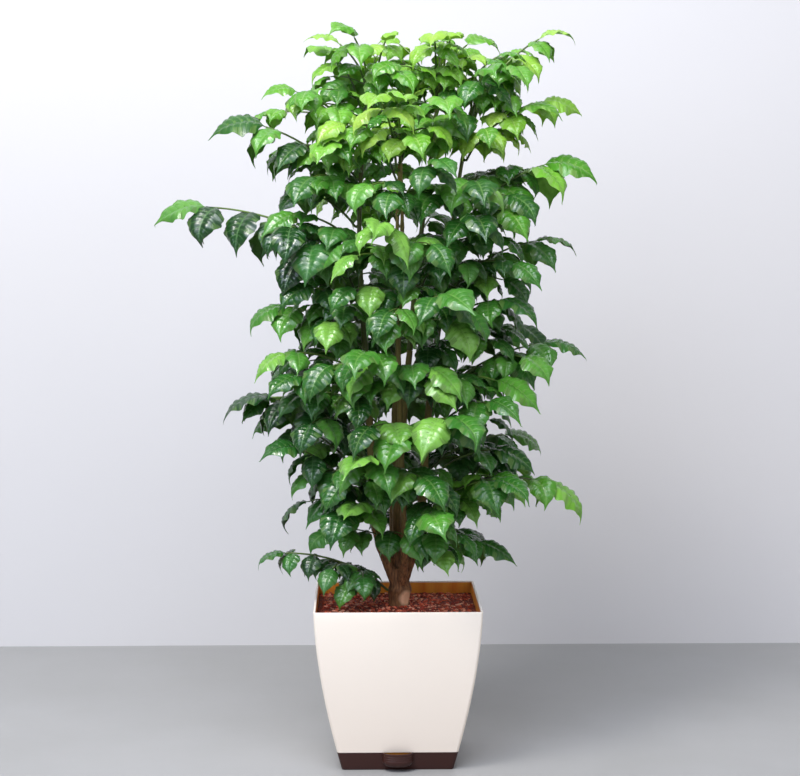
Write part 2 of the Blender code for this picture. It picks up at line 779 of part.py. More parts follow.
def plan_frond(name, row, spine, rnd, space):
    """Where every leaflet and side stalk of one frond stands, from the tip inwards."""
    path, normal, out = spine
    length, pairs, pose = row[3] / 1000, row[4], AGES[row[5]]
    total = path_length(path)
    nodes = frond_nodes(pairs, length, total)
    tip, forward = along(path, 0)
    pitch = math.degrees(math.asin(forward.z))
    end = pitch * TIP_BEND[0] + TIP_BEND[1]
    leaf = leaf_at(rnd, tip, flat_part(forward, out), length * TIP_SIZE, pitch, end, Vector())
    tip_leaf = hang(space, name, leaf)
    pairs = []
    for back, count in nodes:
        middle, forward = along(path, back)
        flat = flat_part(forward, out)
        right = flat.cross(Vector((0, 0, 1)))
        pair = []
        for hand in (1, -1):
            sweep = math.radians(rnd.uniform(*SPREADS["sweep"]))
            heading = right * hand * math.cos(sweep) + flat * math.sin(sweep)
            root = middle + right * hand * STALK_END
            if count == 1:
                leaf = leaf_at(rnd, root, heading, length, pose["start"], pose["end"], right * hand - flat)
                pair.append(hang(space, name, leaf))
            else:
                pair.append(plan_pinna(name, root, heading, hand, length, pose, rnd, space))
        pairs.append((back, count, pair))
    return {"path": path, "normal": normal, "out": out, "total": total, "tip": tip_leaf, "pairs": pairs}


def plan_pinna(owner, root, heading, hand, length, pose, rnd, space):
    """A side stalk with a leaflet at its tip and one on its outer side, or nothing where it has no room."""
    reach = length * rnd.uniform(*SPREADS["reach"])
    start = math.radians(pose["start"])
    middle = root + pitched(heading, start + PINNA_LIFT) * reach * PINNA_NODE
    path = [root, middle, middle + pitched(heading, start) * reach * (1 - PINNA_NODE)]
    if not space.free(*stalk_test(path, PINNA_RADIUS, CLEAR), skip=owner):
        return None
    space.add(owner, *stalk_test(path, PINNA_RADIUS, 0))
    tip = leaf_at(rnd, path[-1], heading, length * PINNA_TIP, pose["start"], pose["end"], Vector())
    aside = turned(heading, hand * PINNA_SPREAD)
    root = middle + aside * PINNA_RADIUS
    outer = leaf_at(rnd, root, aside, length * PINNA_SIDE, pose["start"], pose["end"], aside - heading)
    return {
        "path": path,
        "heading": heading,
        "hand": hand,
        "tip": hang(space, owner, tip),
        "outer": hang(space, owner, outer),
    }


def ring_marks(path, pairs):
    """Distances back from the tip where the rachis gets a ring, from the stem outwards."""
    nodes = [back for back, _, _ in pairs]
    marks = []
    back = path_length(path)
    for a, b in zip(path, path[1:]):
        if all(abs(back - node) > NODE_APART for node in nodes):
            marks.append((back, None))
        back -= (b - a).length
    marks.append((0.0, None))
    for node, count, grown in pairs:
        marks += [(node + NODE_HALF, None), (node - NODE_HALF, (count, grown))]
    return sorted(marks, key=lambda mark: -mark[0])


def raise_frond(frond):
    """The frond's mesh: rings along the rachis, two at every node, with whatever grows out between them."""
    path, out, total = frond["path"], frond["out"], frond["total"]
    sprout = Sprout()
    low = sprout.ring(path[0], frond["normal"], STALK_BASE, out)
    sprout.close([(low[0], low[2], low[1])])
    for back, node in ring_marks(path, frond["pairs"])[1:]:
        radius = STALK_END + (STALK_BASE - STALK_END) * back / total
        centre, forward = along(path, back)
        high = sprout.ring(centre, forward, radius, out)
        count, (right, left) = node or (0, (None, None))
        right, left = standing(right), standing(left)
        sprout.walls(low, high, open_left=bool(left), open_right=bool(right))
        for root, grown in zip(side_roots(low, high), (right, left)):
            if grown and count == 1:
                sprout.blade(root, grown)
            elif grown:
                raise_pinna(sprout, root, grown)
        low = high
    cap_tip(sprout, low, frond["tip"])
    return sprout


def raise_clear(name, frond, space):
    """The frond's mesh after every leaflet that crosses it is swung away, or dropped where that isn't enough."""
    for attempt in range(CLEARINGS):
        sprout = raise_frond(frond)
        crossed = sprout.crossed()
        if not crossed:
            break
        for grown in crossed:
            if "length" in grown and attempt < CLEARINGS - 2:
                grown["heading"] = (grown["heading"] + grown["away"] * SWING).normalized()
                grown["length"] *= SHORTER
                grown["dropped"] = not space.free(*blade_test(grown, ROOT_SHARE), skip=name)
            else:
                grown["dropped"] = True
    return sprout


def raise_pinna(sprout, root, pinna):
    sprout.pinna = pinna
    path = pinna["path"]
    forward = (path[1] - path[0]).normalized()
    onward = (path[2] - path[1]).normalized()
    low = sprout.branch(root, path[1] - forward * NODE_HALF, forward, PINNA_RADIUS)
    high = sprout.ring(path[1] + onward * NODE_HALF, onward, PINNA_RADIUS, pinna["heading"])
    outer = standing(pinna["outer"])
    on_left = bool(outer) and pinna["hand"] > 0
    on_right = bool(outer) and pinna["hand"] < 0
    sprout.walls(low, high, open_left=on_left, open_right=on_right)
    right, left = side_roots(low, high)
    if outer:
        sprout.blade(left if on_left else right, outer)
    last = sprout.ring(path[2], onward, PINNA_RADIUS, pinna["heading"])
    sprout.walls(high, last)
    cap_tip(sprout, last, pinna["tip"])
    sprout.pinna = None


def cap_tip(sprout, ring, leaf):
    left, right, keel = ring
    if standing(leaf):
        sprout.blade((left, right, keel, keel), leaf)
    else:
        sprout.close([(left, right, keel)])


def standing(grown):
    """A leaflet or a side stalk, unless it is a leaflet that was dropped."""
    return None if grown and grown.get("dropped") else grown


def leaves_of(frond):
    """Every leaflet that stands in a frond."""
    leaves = [frond["tip"]]
    for _, count, pair in frond["pairs"]:
        for grown in pair:
            if standing(grown) and count > 1:
                leaves += [grown["tip"], grown["outer"]]
            else:
                leaves.append(grown)
    return [leaf for leaf in leaves if standing(leaf) and "length" in leaf]


def build_fronds(stem_trees, space):
    names = [f"frond_{number:02d}" for number in range(1, len(FRONDS) + 1)]
    spines = [frond_spine(name, row, stem_trees, space) for name, row in zip(names, FRONDS)]
    finishes = {age: material(f"{age} leaf", colour, 0.35) for age, colour in COLOURS.items()}
    fronds = {}
    for name, row, spine in zip(names, FRONDS, spines):
        if spine:
            fronds[name] = plan_frond(name, row, spine, random.Random(name), space)
            sprout = raise_clear(name, fronds[name], space)
            mesh_object(name, sprout.points, sprout.faces, finishes[row[5]])
    print(f"{len(fronds)} fronds with {sum(len(leaves_of(frond)) for frond in fronds.values())} leaflets")


# Stems


def stem_tubes():
    """Path and radii of every stem. Above LIMB_TOP some go on as green shoots."""
    woody, green = {}, {}
    for name, rows in STEMS.items():
        path = stem_points(name)
        radii = [row[3] / 1000 for row in rows]
        if name not in SHOOTS:
            woody[name] = (path, radii)
            continue
        split = next(i for i, point in enumerate(path) if point.z >= LIMB_TOP)
        woody[name] = (path[: split + 1], radii[: split + 1])
        direction = (path[split + 1] - path[split]).normalized()
        green[name] = ([path[split] + direction * GAP, *path[split + 1 :]], radii[split:])
    return woody, green


def build_stems(space):
    bark = material("bark", (0.20, 0.12, 0.07), 0.8)
    skin = material("green stem", (0.16, 0.22, 0.05), 0.5)
    woody, green = stem_tubes()
    trees = {}
    pieces = []
    for name, (path, radii) in woody.items():
        sides = TRUNK_SIDES if name == "trunk" else LIMB_SIDES
        data = tube_data(path, radii, sides)
        trees[name] = BVHTree.FromPolygons(*data)
        space.add("trunk", *data)
        pieces.append(mesh_object(f"limb_{name}", *data, bark))
    joined("trunk", pieces[0], pieces[1:])
    for name, (path, radii) in green.items():
        data = tube_data(path, radii, SHOOT_SIDES)
        space.add(f"shoot_{name}", *data)
        mesh_object(f"shoot_{name}", *data, skin)
        points, faces = tube_data(*woody[name], LIMB_SIDES)
        shift = len(points)
        both = [tuple(i + shift for i in face) for face in data[1]]
        trees[name] = BVHTree.FromPolygons(points + data[0], faces + both)
    return trees


def main():
    clear_scene()
    build_tray()
    build_pot()
    build_soil()
    space = Space()
    trees = build_stems(space)
    build_fronds(trees, space)


main()
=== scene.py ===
# Potted china doll plant: planter on its tray, soil with bark chips, stems, and fronds of veined leaflets.
# Metres, +Z up, front towards -Y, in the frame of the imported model.

import math
import random

import bpy
import numpy as np
from mathutils import Euler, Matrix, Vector, noise
from mathutils.bvhtree import BVHTree


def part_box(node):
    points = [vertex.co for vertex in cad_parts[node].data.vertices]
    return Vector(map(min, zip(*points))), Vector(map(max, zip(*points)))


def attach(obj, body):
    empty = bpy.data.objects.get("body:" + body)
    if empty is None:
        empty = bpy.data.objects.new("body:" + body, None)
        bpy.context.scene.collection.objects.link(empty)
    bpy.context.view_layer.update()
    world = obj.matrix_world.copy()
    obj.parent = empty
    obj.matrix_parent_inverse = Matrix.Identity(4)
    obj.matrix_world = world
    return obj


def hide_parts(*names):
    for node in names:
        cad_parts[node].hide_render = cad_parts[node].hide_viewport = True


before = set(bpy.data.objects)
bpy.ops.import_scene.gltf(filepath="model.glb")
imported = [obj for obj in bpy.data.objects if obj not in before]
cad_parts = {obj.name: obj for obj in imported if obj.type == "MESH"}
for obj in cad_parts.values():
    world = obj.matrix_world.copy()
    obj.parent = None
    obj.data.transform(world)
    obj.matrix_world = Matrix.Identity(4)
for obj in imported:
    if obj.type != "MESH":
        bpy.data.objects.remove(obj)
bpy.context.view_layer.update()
upward = Vector((0, 0, 1))


# Helpers for colours, nodes and meshes


def hexLinear(code):
    # an sRGB hex colour as linear RGBA
    shares = [int(code[i:i + 2], 16) / 255 for i in (1, 3, 5)]
    return [c / 12.92 if c <= 0.04045 else ((c + 0.055) / 1.055) ** 2.4 for c in shares] + [1.0]


def plugIn(tree, node, inputs):
    # a constant or another node's output for each input socket
    for socket, value in inputs.items():
        if isinstance(value, bpy.types.NodeSocket):
            tree.links.new(value, node.inputs[socket])
        else:
            node.inputs[socket].default_value = value


def addNode(tree, kind, inputs, **settings):
    # one node with its settings and inputs
    node = tree.nodes.new(kind)
    for name, value in settings.items():
        setattr(node, name, value)
    plugIn(tree, node, inputs)
    return node


class Skin:
    # a material in the making: each of its functions adds a node and gives back that node's output

    def __init__(self, name):
        self.made = bpy.data.materials.new(name)
        self.made.use_nodes = True
        self.tree = self.made.node_tree
        self.surface = self.tree.nodes["Principled BSDF"]
        self.spot = addNode(self.tree, "ShaderNodeTexCoord", {}).outputs["Object"]

    def noise(self, scale, detail=2.0, rough=0.5, at=None):
        inputs = {"Vector": at or self.spot, "Scale": scale, "Detail": detail, "Roughness": rough}
        return addNode(self.tree, "ShaderNodeTexNoise", inputs).outputs["Fac"]

    def cells(self, scale, **settings):
        inputs = {"Vector": self.spot, "Scale": scale}
        return addNode(self.tree, "ShaderNodeTexVoronoi", inputs, **settings).outputs

    def streaks(self, scales, detail, rough=0.5):
        # noise drawn out along the axis of the smallest scale
        stretched = addNode(self.tree, "ShaderNodeMapping", {0: self.spot, 3: scales}).outputs[0]
        return self.noise(1.0, detail, rough, stretched)

    def marked(self, name, kind="Fac"):
        return addNode(self.tree, "ShaderNodeAttribute", {}, attribute_name=name).outputs[kind]

    def split(self, vector):
        return addNode(self.tree, "ShaderNodeSeparateXYZ", {0: vector}).outputs

    def ranged(self, share, low, high, toLow=0.0, toHigh=1.0):
        inputs = {0: share, 1: low, 2: high, 3: toLow, 4: toHigh}
        return addNode(self.tree, "ShaderNodeMapRange", inputs).outputs[0]

    def math(self, operation, *inputs, clamp=False):
        settings = {"operation": operation, "use_clamp": clamp}
        return addNode(self.tree, "ShaderNodeMath", dict(enumerate(inputs)), **settings).outputs[0]

    def mix(self, share, first, second):
        # each colour is a hex code or another node's output
        first, second = (hexLinear(end) if isinstance(end, str) else end for end in (first, second))
        inputs = {0: share, 6: first, 7: second}
        return addNode(self.tree, "ShaderNodeMix", inputs, data_type="RGBA").outputs[2]

    def ramp(self, share, places, colours):
        # from the first colour at 0 to the last one at 1
        node = addNode(self.tree, "ShaderNodeValToRGB", {0: share})
        node.color_ramp.elements[0].color = hexLinear(colours[0])
        node.color_ramp.elements[1].color = hexLinear(colours[-1])
        for place, colour in zip(places[1:-1], colours[1:-1]):
            node.color_ramp.elements.new(place).color = hexLinear(colour)
        return node.outputs[0]

    def bump(self, height, strength, distance):
        inputs = {"Height": height, "Strength": strength, "Distance": distance}
        return addNode(self.tree, "ShaderNodeBump", inputs).outputs[0]

    def dress(self, colour, rough, inputs):
        # the main shader's colour and roughness, and its other inputs
        plugIn(self.tree, self.surface, {"Base Color": colour, "Roughness": rough, **inputs})
        return self.made

    def blend(self, share, other):
        # the main shader with a share of another one
        both = addNode(self.tree, "ShaderNodeMixShader", {0: share, 1: self.surface.outputs[0], 2: other})
        self.tree.links.new(both.outputs[0], self.tree.nodes["Material Output"].inputs["Surface"])
        return self.made


def placed(name, data):
    # an object of the scene that shows the mesh, camera or lamp
    made = bpy.data.objects.new(name, data)
    bpy.context.scene.collection.objects.link(made)
    return made


def looseObject(name, points, faces):
    mesh = bpy.data.meshes.new(name)
    mesh.from_pydata([tuple(p) for p in points], [], faces)
    return placed(name, mesh)


def newPiece(name, points, faces, *dress):
    return dressPiece(looseObject(name, points, faces), *dress)


def dressPiece(piece, materials, nodes=(), slot=None, sharpAngle=40):
    # smooth shading but for sharp edges; the piece rides on the body and may stand for CAD nodes
    piece.data.materials.clear()
    for material in materials:
        piece.data.materials.append(material)
    piece.data.shade_smooth()
    piece.data.set_sharp_from_angle(angle=math.radians(sharpAngle))
    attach(piece, "root")
    if nodes:
        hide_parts(*nodes)
    return piece


def appliedMesh(made, name):
    # the object's mesh with its modifiers, and the object itself taken away
    graph = bpy.context.evaluated_depsgraph_get()
    mesh = bpy.data.meshes.new_from_object(made.evaluated_get(graph))
    mesh.name = name
    bpy.data.objects.remove(made, do_unlink=True)
    return mesh


def boolean(base, others, operation):
    for other in others:
        cut = base.modifiers.new("cut", "BOOLEAN")
        cut.operation = operation
        cut.object = other
    mesh = appliedMesh(base, base.name)
    for other in others:
        bpy.data.objects.remove(other, do_unlink=True)
    return placed(mesh.name, mesh)


def loftFaces(rows, count):
    # closed solid through equal loops, capped at both ends
    faces = [tuple(reversed(range(count)))]
    for row in range(rows - 1):
        for i in range(count):
            j = (i + 1) % count
            low, high = row * count, (row + 1) * count
            faces.append((low + i, low + j, high + j, high + i))
    faces.append(tuple((rows - 1) * count + i for i in range(count)))
    return faces


def lofted(name, loops):
    return looseObject(name, [p for loop in loops for p in loop], loftFaces(len(loops), len(loops[0])))


def squareLoop(half, corner, z, steps):
    # a square with rounded corners, anticlockwise from above
    points = []
    for quarter, (sx, sy) in enumerate(((1, 1), (-1, 1), (-1, -1), (1, -1))):
        centre = Vector((sx * (half - corner), sy * (half - corner), z))
        for step in range(steps + 1):
            angle = math.radians(90 * (quarter + step / steps))
            points.append(centre + Vector((math.cos(angle), math.sin(angle), 0)) * corner)
    return points


# Studio


studio = {
    "cameraPlace": (-0.0455, -2.33, 0.655),
    "cameraDown": 4.92,             # degrees below level
    "cameraRight": 1.22,            # degrees towards +X
    "lens": 86.6,                   # mm
    "sensor": 36,
    "sheetHalf": 6.0,
    "wallHeight": 5.0,
    "wallDistance": 0.62,
    "wallColour": "#D2D0CE",
    "wallShade": "#CCCBCC",
    "floorColour": "#A0A09F",
    "floorShade": "#92928F",
    "ambient": "#F2F3FA",
    "ambientStrength": 0.26,
    # name: place, aim, size, watts, colour
    "lamps": {
        "key": ((-0.9, -1.2, 2.6), (0, 0, 0.45), 0.7, 42, "#FFF9F0"),
        "softbox": ((-0.2, -1.2, 2.3), (0, 0, 0.45), 1.7, 60, "#EEF2FF"),
        "window": ((-1.3, -2.1, 1.7), (0, 0, 0.50), 1.8, 36, "#DAE6FF"),
        "fill": ((1.5, -2.0, 0.9), (0, 0, 0.40), 1.4, 10, "#F4F4FF"),
    },
}


def paintedPlaster():
    # painted plaster: matt, with a very slight unevenness of the roller; one-sided, so it is open from behind
    skin = Skin("rolled_wall_paint")
    skin.dress(skin.mix(skin.noise(1.3), studio["wallColour"], studio["wallShade"]), 0.9, {})
    rear = addNode(skin.tree, "ShaderNodeNewGeometry", {}).outputs["Backfacing"]
    return skin.blend(rear, addNode(skin.tree, "ShaderNodeBsdfTransparent", {}).outputs[0])


def pouredFloor():
    # smooth poured screed: pale grey, faint clouds, a soft satin shine
    skin = Skin("poured_screed")
    cloud = skin.noise(5.0, 5.0, 0.6)
    return skin.dress(skin.mix(cloud, studio["floorColour"], studio["floorShade"]), 0.42, {})


def buildStudio():
    scene = bpy.context.scene
    wide, wall, high = studio["sheetHalf"], studio["wallDistance"], studio["wallHeight"]
    left, right = (-wide, wall, 0), (wide, wall, 0)
    for name, corners, material in (
        ("floor", [(-wide, -wide, 0), (wide, -wide, 0), right, left], pouredFloor()),
        ("wall", [left, right, (wide, wall, high), (-wide, wall, high)], paintedPlaster()),
    ):
        sheet = looseObject(name, corners, [(0, 1, 2, 3)])
        sheet.data.materials.append(material)
    camera = placed("camera", bpy.data.cameras.new("camera"))
    camera.data.lens = studio["lens"]
    camera.data.sensor_width = studio["sensor"]
    down, right = math.radians(studio["cameraDown"]), math.radians(studio["cameraRight"])
    forward = pitched(Vector((math.sin(right), math.cos(right), 0)), -down)
    camera.location = studio["cameraPlace"]
    camera.rotation_euler = forward.to_track_quat("-Z", "Y").to_euler()
    scene.camera = camera
    for name, (place, aim, size, watts, colour) in studio["lamps"].items():
        lamp = placed(name, bpy.data.lights.new(name, "AREA"))
        lamp.data.size = size
        lamp.data.energy = watts
        lamp.data.color = hexLinear(colour)[:3]
        lamp.location = place
        lamp.rotation_euler = (Vector(aim) - Vector(place)).to_track_quat("-Z", "Y").to_euler()
    world = bpy.data.worlds.new("soft_room")
    world.use_nodes = True
    ambient = {"Color": hexLinear(studio["ambient"]), "Strength": studio["ambientStrength"]}
    plugIn(world.node_tree, world.node_tree.nodes["Background"], ambient)
    scene.world = world
    scene.view_settings.view_transform = "Standard"
    print("studio: floor, wall, camera and lamps")


# Planter


potLow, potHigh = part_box("pot")
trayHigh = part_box("tray")[1]

planter = {
    "height": potHigh.z,
    "rimHalf": potHigh.x,
    "baseHalf": 0.067,
    "taperPower": 1.6,
    "trayHeight": trayHigh.z,
    "trayBevel": 0.0012,
    "footSteps": 3,
    "trayEdge": 0.0003,             # small slant of its upper edge
    "wall": 0.0025,
    "floor": 0.0030,
    "corner": 0.0040,
    "cornerSteps": 8,
    "rimRound": 0.0007,
    "rimSteps": 4,
    "sideSteps": 26,
    "footLow": potLow.z,
    "footPlay": 0.0006,
    "gap": 0.0003,
    "stepLift": 0.0005,
    "drainRadius": 0.0040,
    "drainSpread": 0.032,
    "drains": 4,
    "drainSides": 28,
    "drainDeep": 0.010,             # how far the drain holes are cut above and below the floor's underside
    "rimMark": 0.0012,              # the painted inner shade stays this far below the rim
    "cream": "#EEE4D6",
    "paintedLightBelow": (0.02, 0.20),      # heights between which the cream goes from a painted lighter, warmer tone to plain: painted light for the low part
    "creamPaintedLight": "#F6E8D8",
    "inside": "#FFB040",            # the inner wall and its darker streaks: painted shade, warmed by light bounced off the soil
    "insideDark": "#E07E20",
    "trayBrown": "#40201A",
    "trayDark": "#301915",
}

pourLip = {
    "half": 0.0185,
    "reach": 0.0105,
    "depth": 0.0160,
    "wall": 0.0018,
    "root": 0.0040,
    "cutAbove": 0.0100,             # its hollow is cut out up to this far above the tray
    "arcSteps": 40,
    # height above the cup's bottom and share of its full width, with faint grooves
    "rounding": ((0.0, 0.70), (0.0008, 0.80), (0.0022, 0.90), (0.0040, 0.965), (0.0060, 1.0)),
    "grooves": (0.0078, 0.0103, 0.0128),
    "grooveDepth": 0.030,           # share of the width
    "grooveHalf": 0.0005,
}


def outerHalf(z):
    # half of the planter's width at a height: nearly upright at the rim, tapering faster below
    share = (planter["height"] - z) / planter["height"]
    return planter["rimHalf"] - (planter["rimHalf"] - planter["baseHalf"]) * share ** planter["taperPower"]


def innerProfile(top, steps):
    # (height, half width) inside the shell, from the floor up
    seat = planter["trayHeight"] + planter["gap"]
    footHalf = outerHalf(planter["footLow"]) - planter["wall"] - planter["footPlay"]
    inner = footHalf - planter["wall"]
    stepLow = seat + planter["stepLift"]
    stepHigh = stepLow + planter["wall"]
    profile = [(planter["footLow"] + planter["floor"], inner), (stepLow, inner)]
    for i in range(steps + 1):
        z = stepHigh + (top - stepHigh) * i / steps
        profile.append((z, outerHalf(z) - planter["wall"]))
    return profile


def uprightPrism(name, x, y, low, high, radius, sides):
    loops = []
    for z in (low, high):
        angles = [2 * math.pi * i / sides for i in range(sides)]
        loops.append([Vector((x + radius * math.cos(a), y + radius * math.sin(a), z)) for a in angles])
    return lofted(name, loops)


def mouldedPot():
    # polypropylene, injection moulded: cream, satin, with a soft depth; painted lighter, warmer cream low
    # down for the light it lacks; inside, painted orange-brown shade warmed by light bounced off the soil
    skin = Skin("moulded_polypropylene_cream")
    cloud = skin.noise(14.0, 3.0)
    # painted light: the cream is lighter and warmer low down, where less light reaches
    rise = skin.ranged(skin.split(skin.spot)["Z"], *planter["paintedLightBelow"])
    cream = skin.mix(skin.math("MULTIPLY_ADD", cloud, 0.25, rise), planter["creamPaintedLight"], planter["cream"])
    # painted shade on the inner wall: warm orange-brown in streaks, standing for shade and soil-bounced light
    innerShadeStreaks = skin.ranged(skin.streaks((60, 60, 9), 5.0, 0.65), 0.30, 0.70)
    brown = skin.mix(innerShadeStreaks, planter["inside"], planter["insideDark"])
    colour = skin.mix(skin.ranged(skin.marked("insideWall"), 0.02, 0.20), cream, brown)
    grain = skin.bump(skin.noise(900.0), 0.10, 0.0002)
    return skin.dress(colour, skin.ranged(cloud, 0.3, 0.7, 0.30, 0.42), {"Normal": grain, "IOR": 1.49})


def mouldedTray():
    # the same plastic in dark brown, with a fine grain and a dull shine
    skin = Skin("moulded_polypropylene_brown")
    cloud = skin.noise(30.0, 4.0)
    colour = skin.mix(cloud, planter["trayBrown"], planter["trayDark"])
    grain = skin.bump(skin.noise(1400.0), 0.15, 0.0002)
    rough = skin.ranged(cloud, 0.3, 0.7, 0.34, 0.48)
    return skin.dress(colour, rough, {"Normal": grain, "IOR": 1.49, "Specular IOR Level": 0.3})


def buildPot():
    seat = planter["trayHeight"] + planter["gap"]
    footHalf = outerHalf(planter["footLow"]) - planter["wall"] - planter["footPlay"]
    corner, steps, wall = planter["corner"], planter["cornerSteps"], planter["wall"]
    innerCorner, top, bevel = corner - wall, planter["height"], planter["rimRound"]
    turns = [math.radians(90 * i / planter["rimSteps"]) for i in range(planter["rimSteps"] + 1)]
    rows = [(footHalf, corner, planter["footLow"]), (footHalf, corner, seat)]
    for i in range(planter["sideSteps"]):
        z = seat + (top - bevel - seat) * i / planter["sideSteps"]
        rows.append((outerHalf(z), corner, z))
    for turn in turns:                             # outer edge of the rim
        inward = bevel * (1 - math.cos(turn))
        rows.append((planter["rimHalf"] - inward, corner - inward, top - bevel + bevel * math.sin(turn)))
    for turn in turns:                             # inner edge of the rim
        outward = bevel * (1 - math.sin(turn))
        half = planter["rimHalf"] - wall + outward
        rows.append((half, innerCorner + outward, top - bevel + bevel * math.cos(turn)))
    for z, half in reversed(innerProfile(top - bevel, planter["sideSteps"])[:-1]):
        rows.append((half, innerCorner, z))
    pot = lofted("pot_shell", [squareLoop(half, bend, z, steps) for half, bend, z in rows])
    low, high = planter["footLow"] - planter["drainDeep"], planter["footLow"] + planter["drainDeep"]
    drains = []
    for i in range(planter["drains"]):
        angle = 2 * math.pi * (i + 0.5) / planter["drains"]
        x, y = planter["drainSpread"] * math.cos(angle), planter["drainSpread"] * math.sin(angle)
        drain = uprightPrism(f"drain_{i}", x, y, low, high, planter["drainRadius"], planter["drainSides"])
        drains.append(drain)
    pot = boolean(pot, drains, "DIFFERENCE")
    markInside(pot.data)
    dressPiece(pot, [mouldedPot()], ["pot"], "pot", 35)
    print(f"pot: {len(rows)} loops and {planter['drains']} drain holes")


def markInside(mesh):
    # 1 on the wall's inner face, where the shade is painted; 0 outside and on the rim
    spots = np.array([tuple(vertex.co) for vertex in mesh.vertices])
    across = np.maximum(abs(spots[:, 0]), abs(spots[:, 1]))
    limit = np.array([outerHalf(min(z, planter["height"])) for z in spots[:, 2]]) - planter["wall"] * 0.7
    high = spots[:, 2] < planter["height"] - planter["rimMark"]
    inner = (across < limit) & high & (spots[:, 2] > planter["footLow"] + planter["floor"] / 2)
    mesh.attributes.new("insideWall", "FLOAT", "POINT").data.foreach_set("value", inner.astype(np.float32))


def lipCup(name, front, low, high, half, reach, inward, grooved):
    # half a cup against the tray's front face, rounded below, that runs inward past the wall
    marks = [(low + up, share) for up, share in pourLip["rounding"]]
    if grooved:
        for up in pourLip["grooves"]:
            near = pourLip["grooveHalf"]
            marks += [(low + up - near, 1.0), (low + up, 1 - pourLip["grooveDepth"]), (low + up + near, 1.0)]
    marks.append((high, 1.0))
    steps = pourLip["arcSteps"]
    loops = []
    for z, share in marks:
        arc = [math.pi * (1 + i / steps) for i in range(steps + 1)]
        outline = [Vector((half * share * math.cos(a), front + reach * share * math.sin(a), z)) for a in arc]
        outline += [Vector((half * share, front + inward, z)), Vector((-half * share, front + inward, z))]
        loops.append(outline)
    return lofted(name, loops)


def buildTray():
    corner, steps, wall = planter["corner"], planter["cornerSteps"], planter["wall"]
    bevel, high, edge = planter["trayBevel"], planter["trayHeight"], planter["trayEdge"]
    rows = []
    for i in range(planter["footSteps"] + 1):      # rounded foot
        turn = math.radians(90 * i / planter["footSteps"])
        inward = bevel * (1 - math.sin(turn))
        z = bevel * (1 - math.cos(turn))
        rows.append((outerHalf(z) - inward, corner - inward, z))
    rows += [(outerHalf(z), corner, z) for z in (high * 0.3, high * 0.6, high - edge)]
    rows += [(outerHalf(high) - edge, corner - edge, high)]
    rows += [(outerHalf(z) - wall, corner - wall, z) for z in (high, high / 2, planter["floor"])]
    tray = lofted("drip_tray", [squareLoop(half, bend, z, steps) for half, bend, z in rows])
    front, low = -outerHalf(high), high - pourLip["depth"]
    half, reach, shell = pourLip["half"], pourLip["reach"], pourLip["wall"]
    lip = lipCup("lip", front, low, high, half, reach, pourLip["root"], True)
    tray = boolean(tray, [lip], "UNION")
    above = high + pourLip["cutAbove"]
    hollow = lipCup("hollow", front, low + shell, above, half - shell, reach - shell, 2 * wall, False)
    tray = boolean(tray, [hollow], "DIFFERENCE")
    dressPiece(tray, [mouldedTray()], ["tray"], "tray", 35)
    print("tray with its pour lip")


# Soil and bark chips


soilBed = {
    "level": 0.1830,
    "heap": 0.0050,
    "heapRadius": 0.045,
    "crumb": 0.0016,                # height of the crumbs
    # height of the noise, its scale per metre and its share of a crumb
    "lumps": ((0, 60, 0.60), (3, 190, 0.50), (7, 520, 0.35)),
    "grid": 78,
    "chips": 1700,
    "chipSize": (0.0028, 0.0085),
    "smallOnes": 2.2,               # the higher, the fewer large chips
    "chipStretch": ((0.7, 1.3), (0.4, 0.8), (0.22, 0.5)),   # length, width and thickness per size
    "chipSwell": (0.72, 1.12),      # unevenness of its corners
    "chipTilt": 0.5,
    "chipRise": 0.35,               # share of the thickness that its middle lies above the soil
    "chipEdge": 0.004,              # kept free along the planter's wall
    "trunkRoom": (0.003, 0.002, 0.015),   # place and radius kept free for the trunk
    "soilDark": "#45211A",
    "soilRed": "#D85C36",
    "chipColours": ("#9A3A2A", "#E8623C", "#F28A62", "#FFBE9C"),
    "fibreDark": "#1E0F0A",
}


def soilHeight(x, y):
    heap = soilBed["heap"] * math.exp(-((math.hypot(x, y) / soilBed["heapRadius"]) ** 2))
    crumbs = sum(noise.noise(Vector((x, y, z)) * scale) * share for z, scale, share in soilBed["lumps"])
    return soilBed["level"] + heap + soilBed["crumb"] * crumbs


def pottingMix():
    # peat and coir potting mix, pressed down: dark reddish brown crumbs, matt
    skin = Skin("pressed_potting_mix")
    crumbs = skin.cells(420.0)
    shade = skin.math("MULTIPLY", crumbs["Color"], skin.noise(90.0, 6.0, 0.7))
    colour = skin.mix(shade, soilBed["soilDark"], soilBed["soilRed"])
    return skin.dress(colour, 0.92, {"Normal": skin.bump(crumbs["Distance"], 0.9, 0.0012)})


def barkChips():
    # chopped pine bark and coir: reddish, each chip of its own shade, with a fibre along it
    skin = Skin("chopped_pine_bark")
    shade = skin.ramp(skin.marked("chipShade"), (0.0, 0.45, 0.75, 1.0), soilBed["chipColours"])
    fibre = skin.noise(700.0, 3.0)
    colour = skin.mix(skin.ranged(fibre, 0.45, 0.75, 0.0, 0.7), shade, soilBed["fibreDark"])
    return skin.dress(colour, 0.78, {"Normal": skin.bump(fibre, 0.6, 0.0005)})


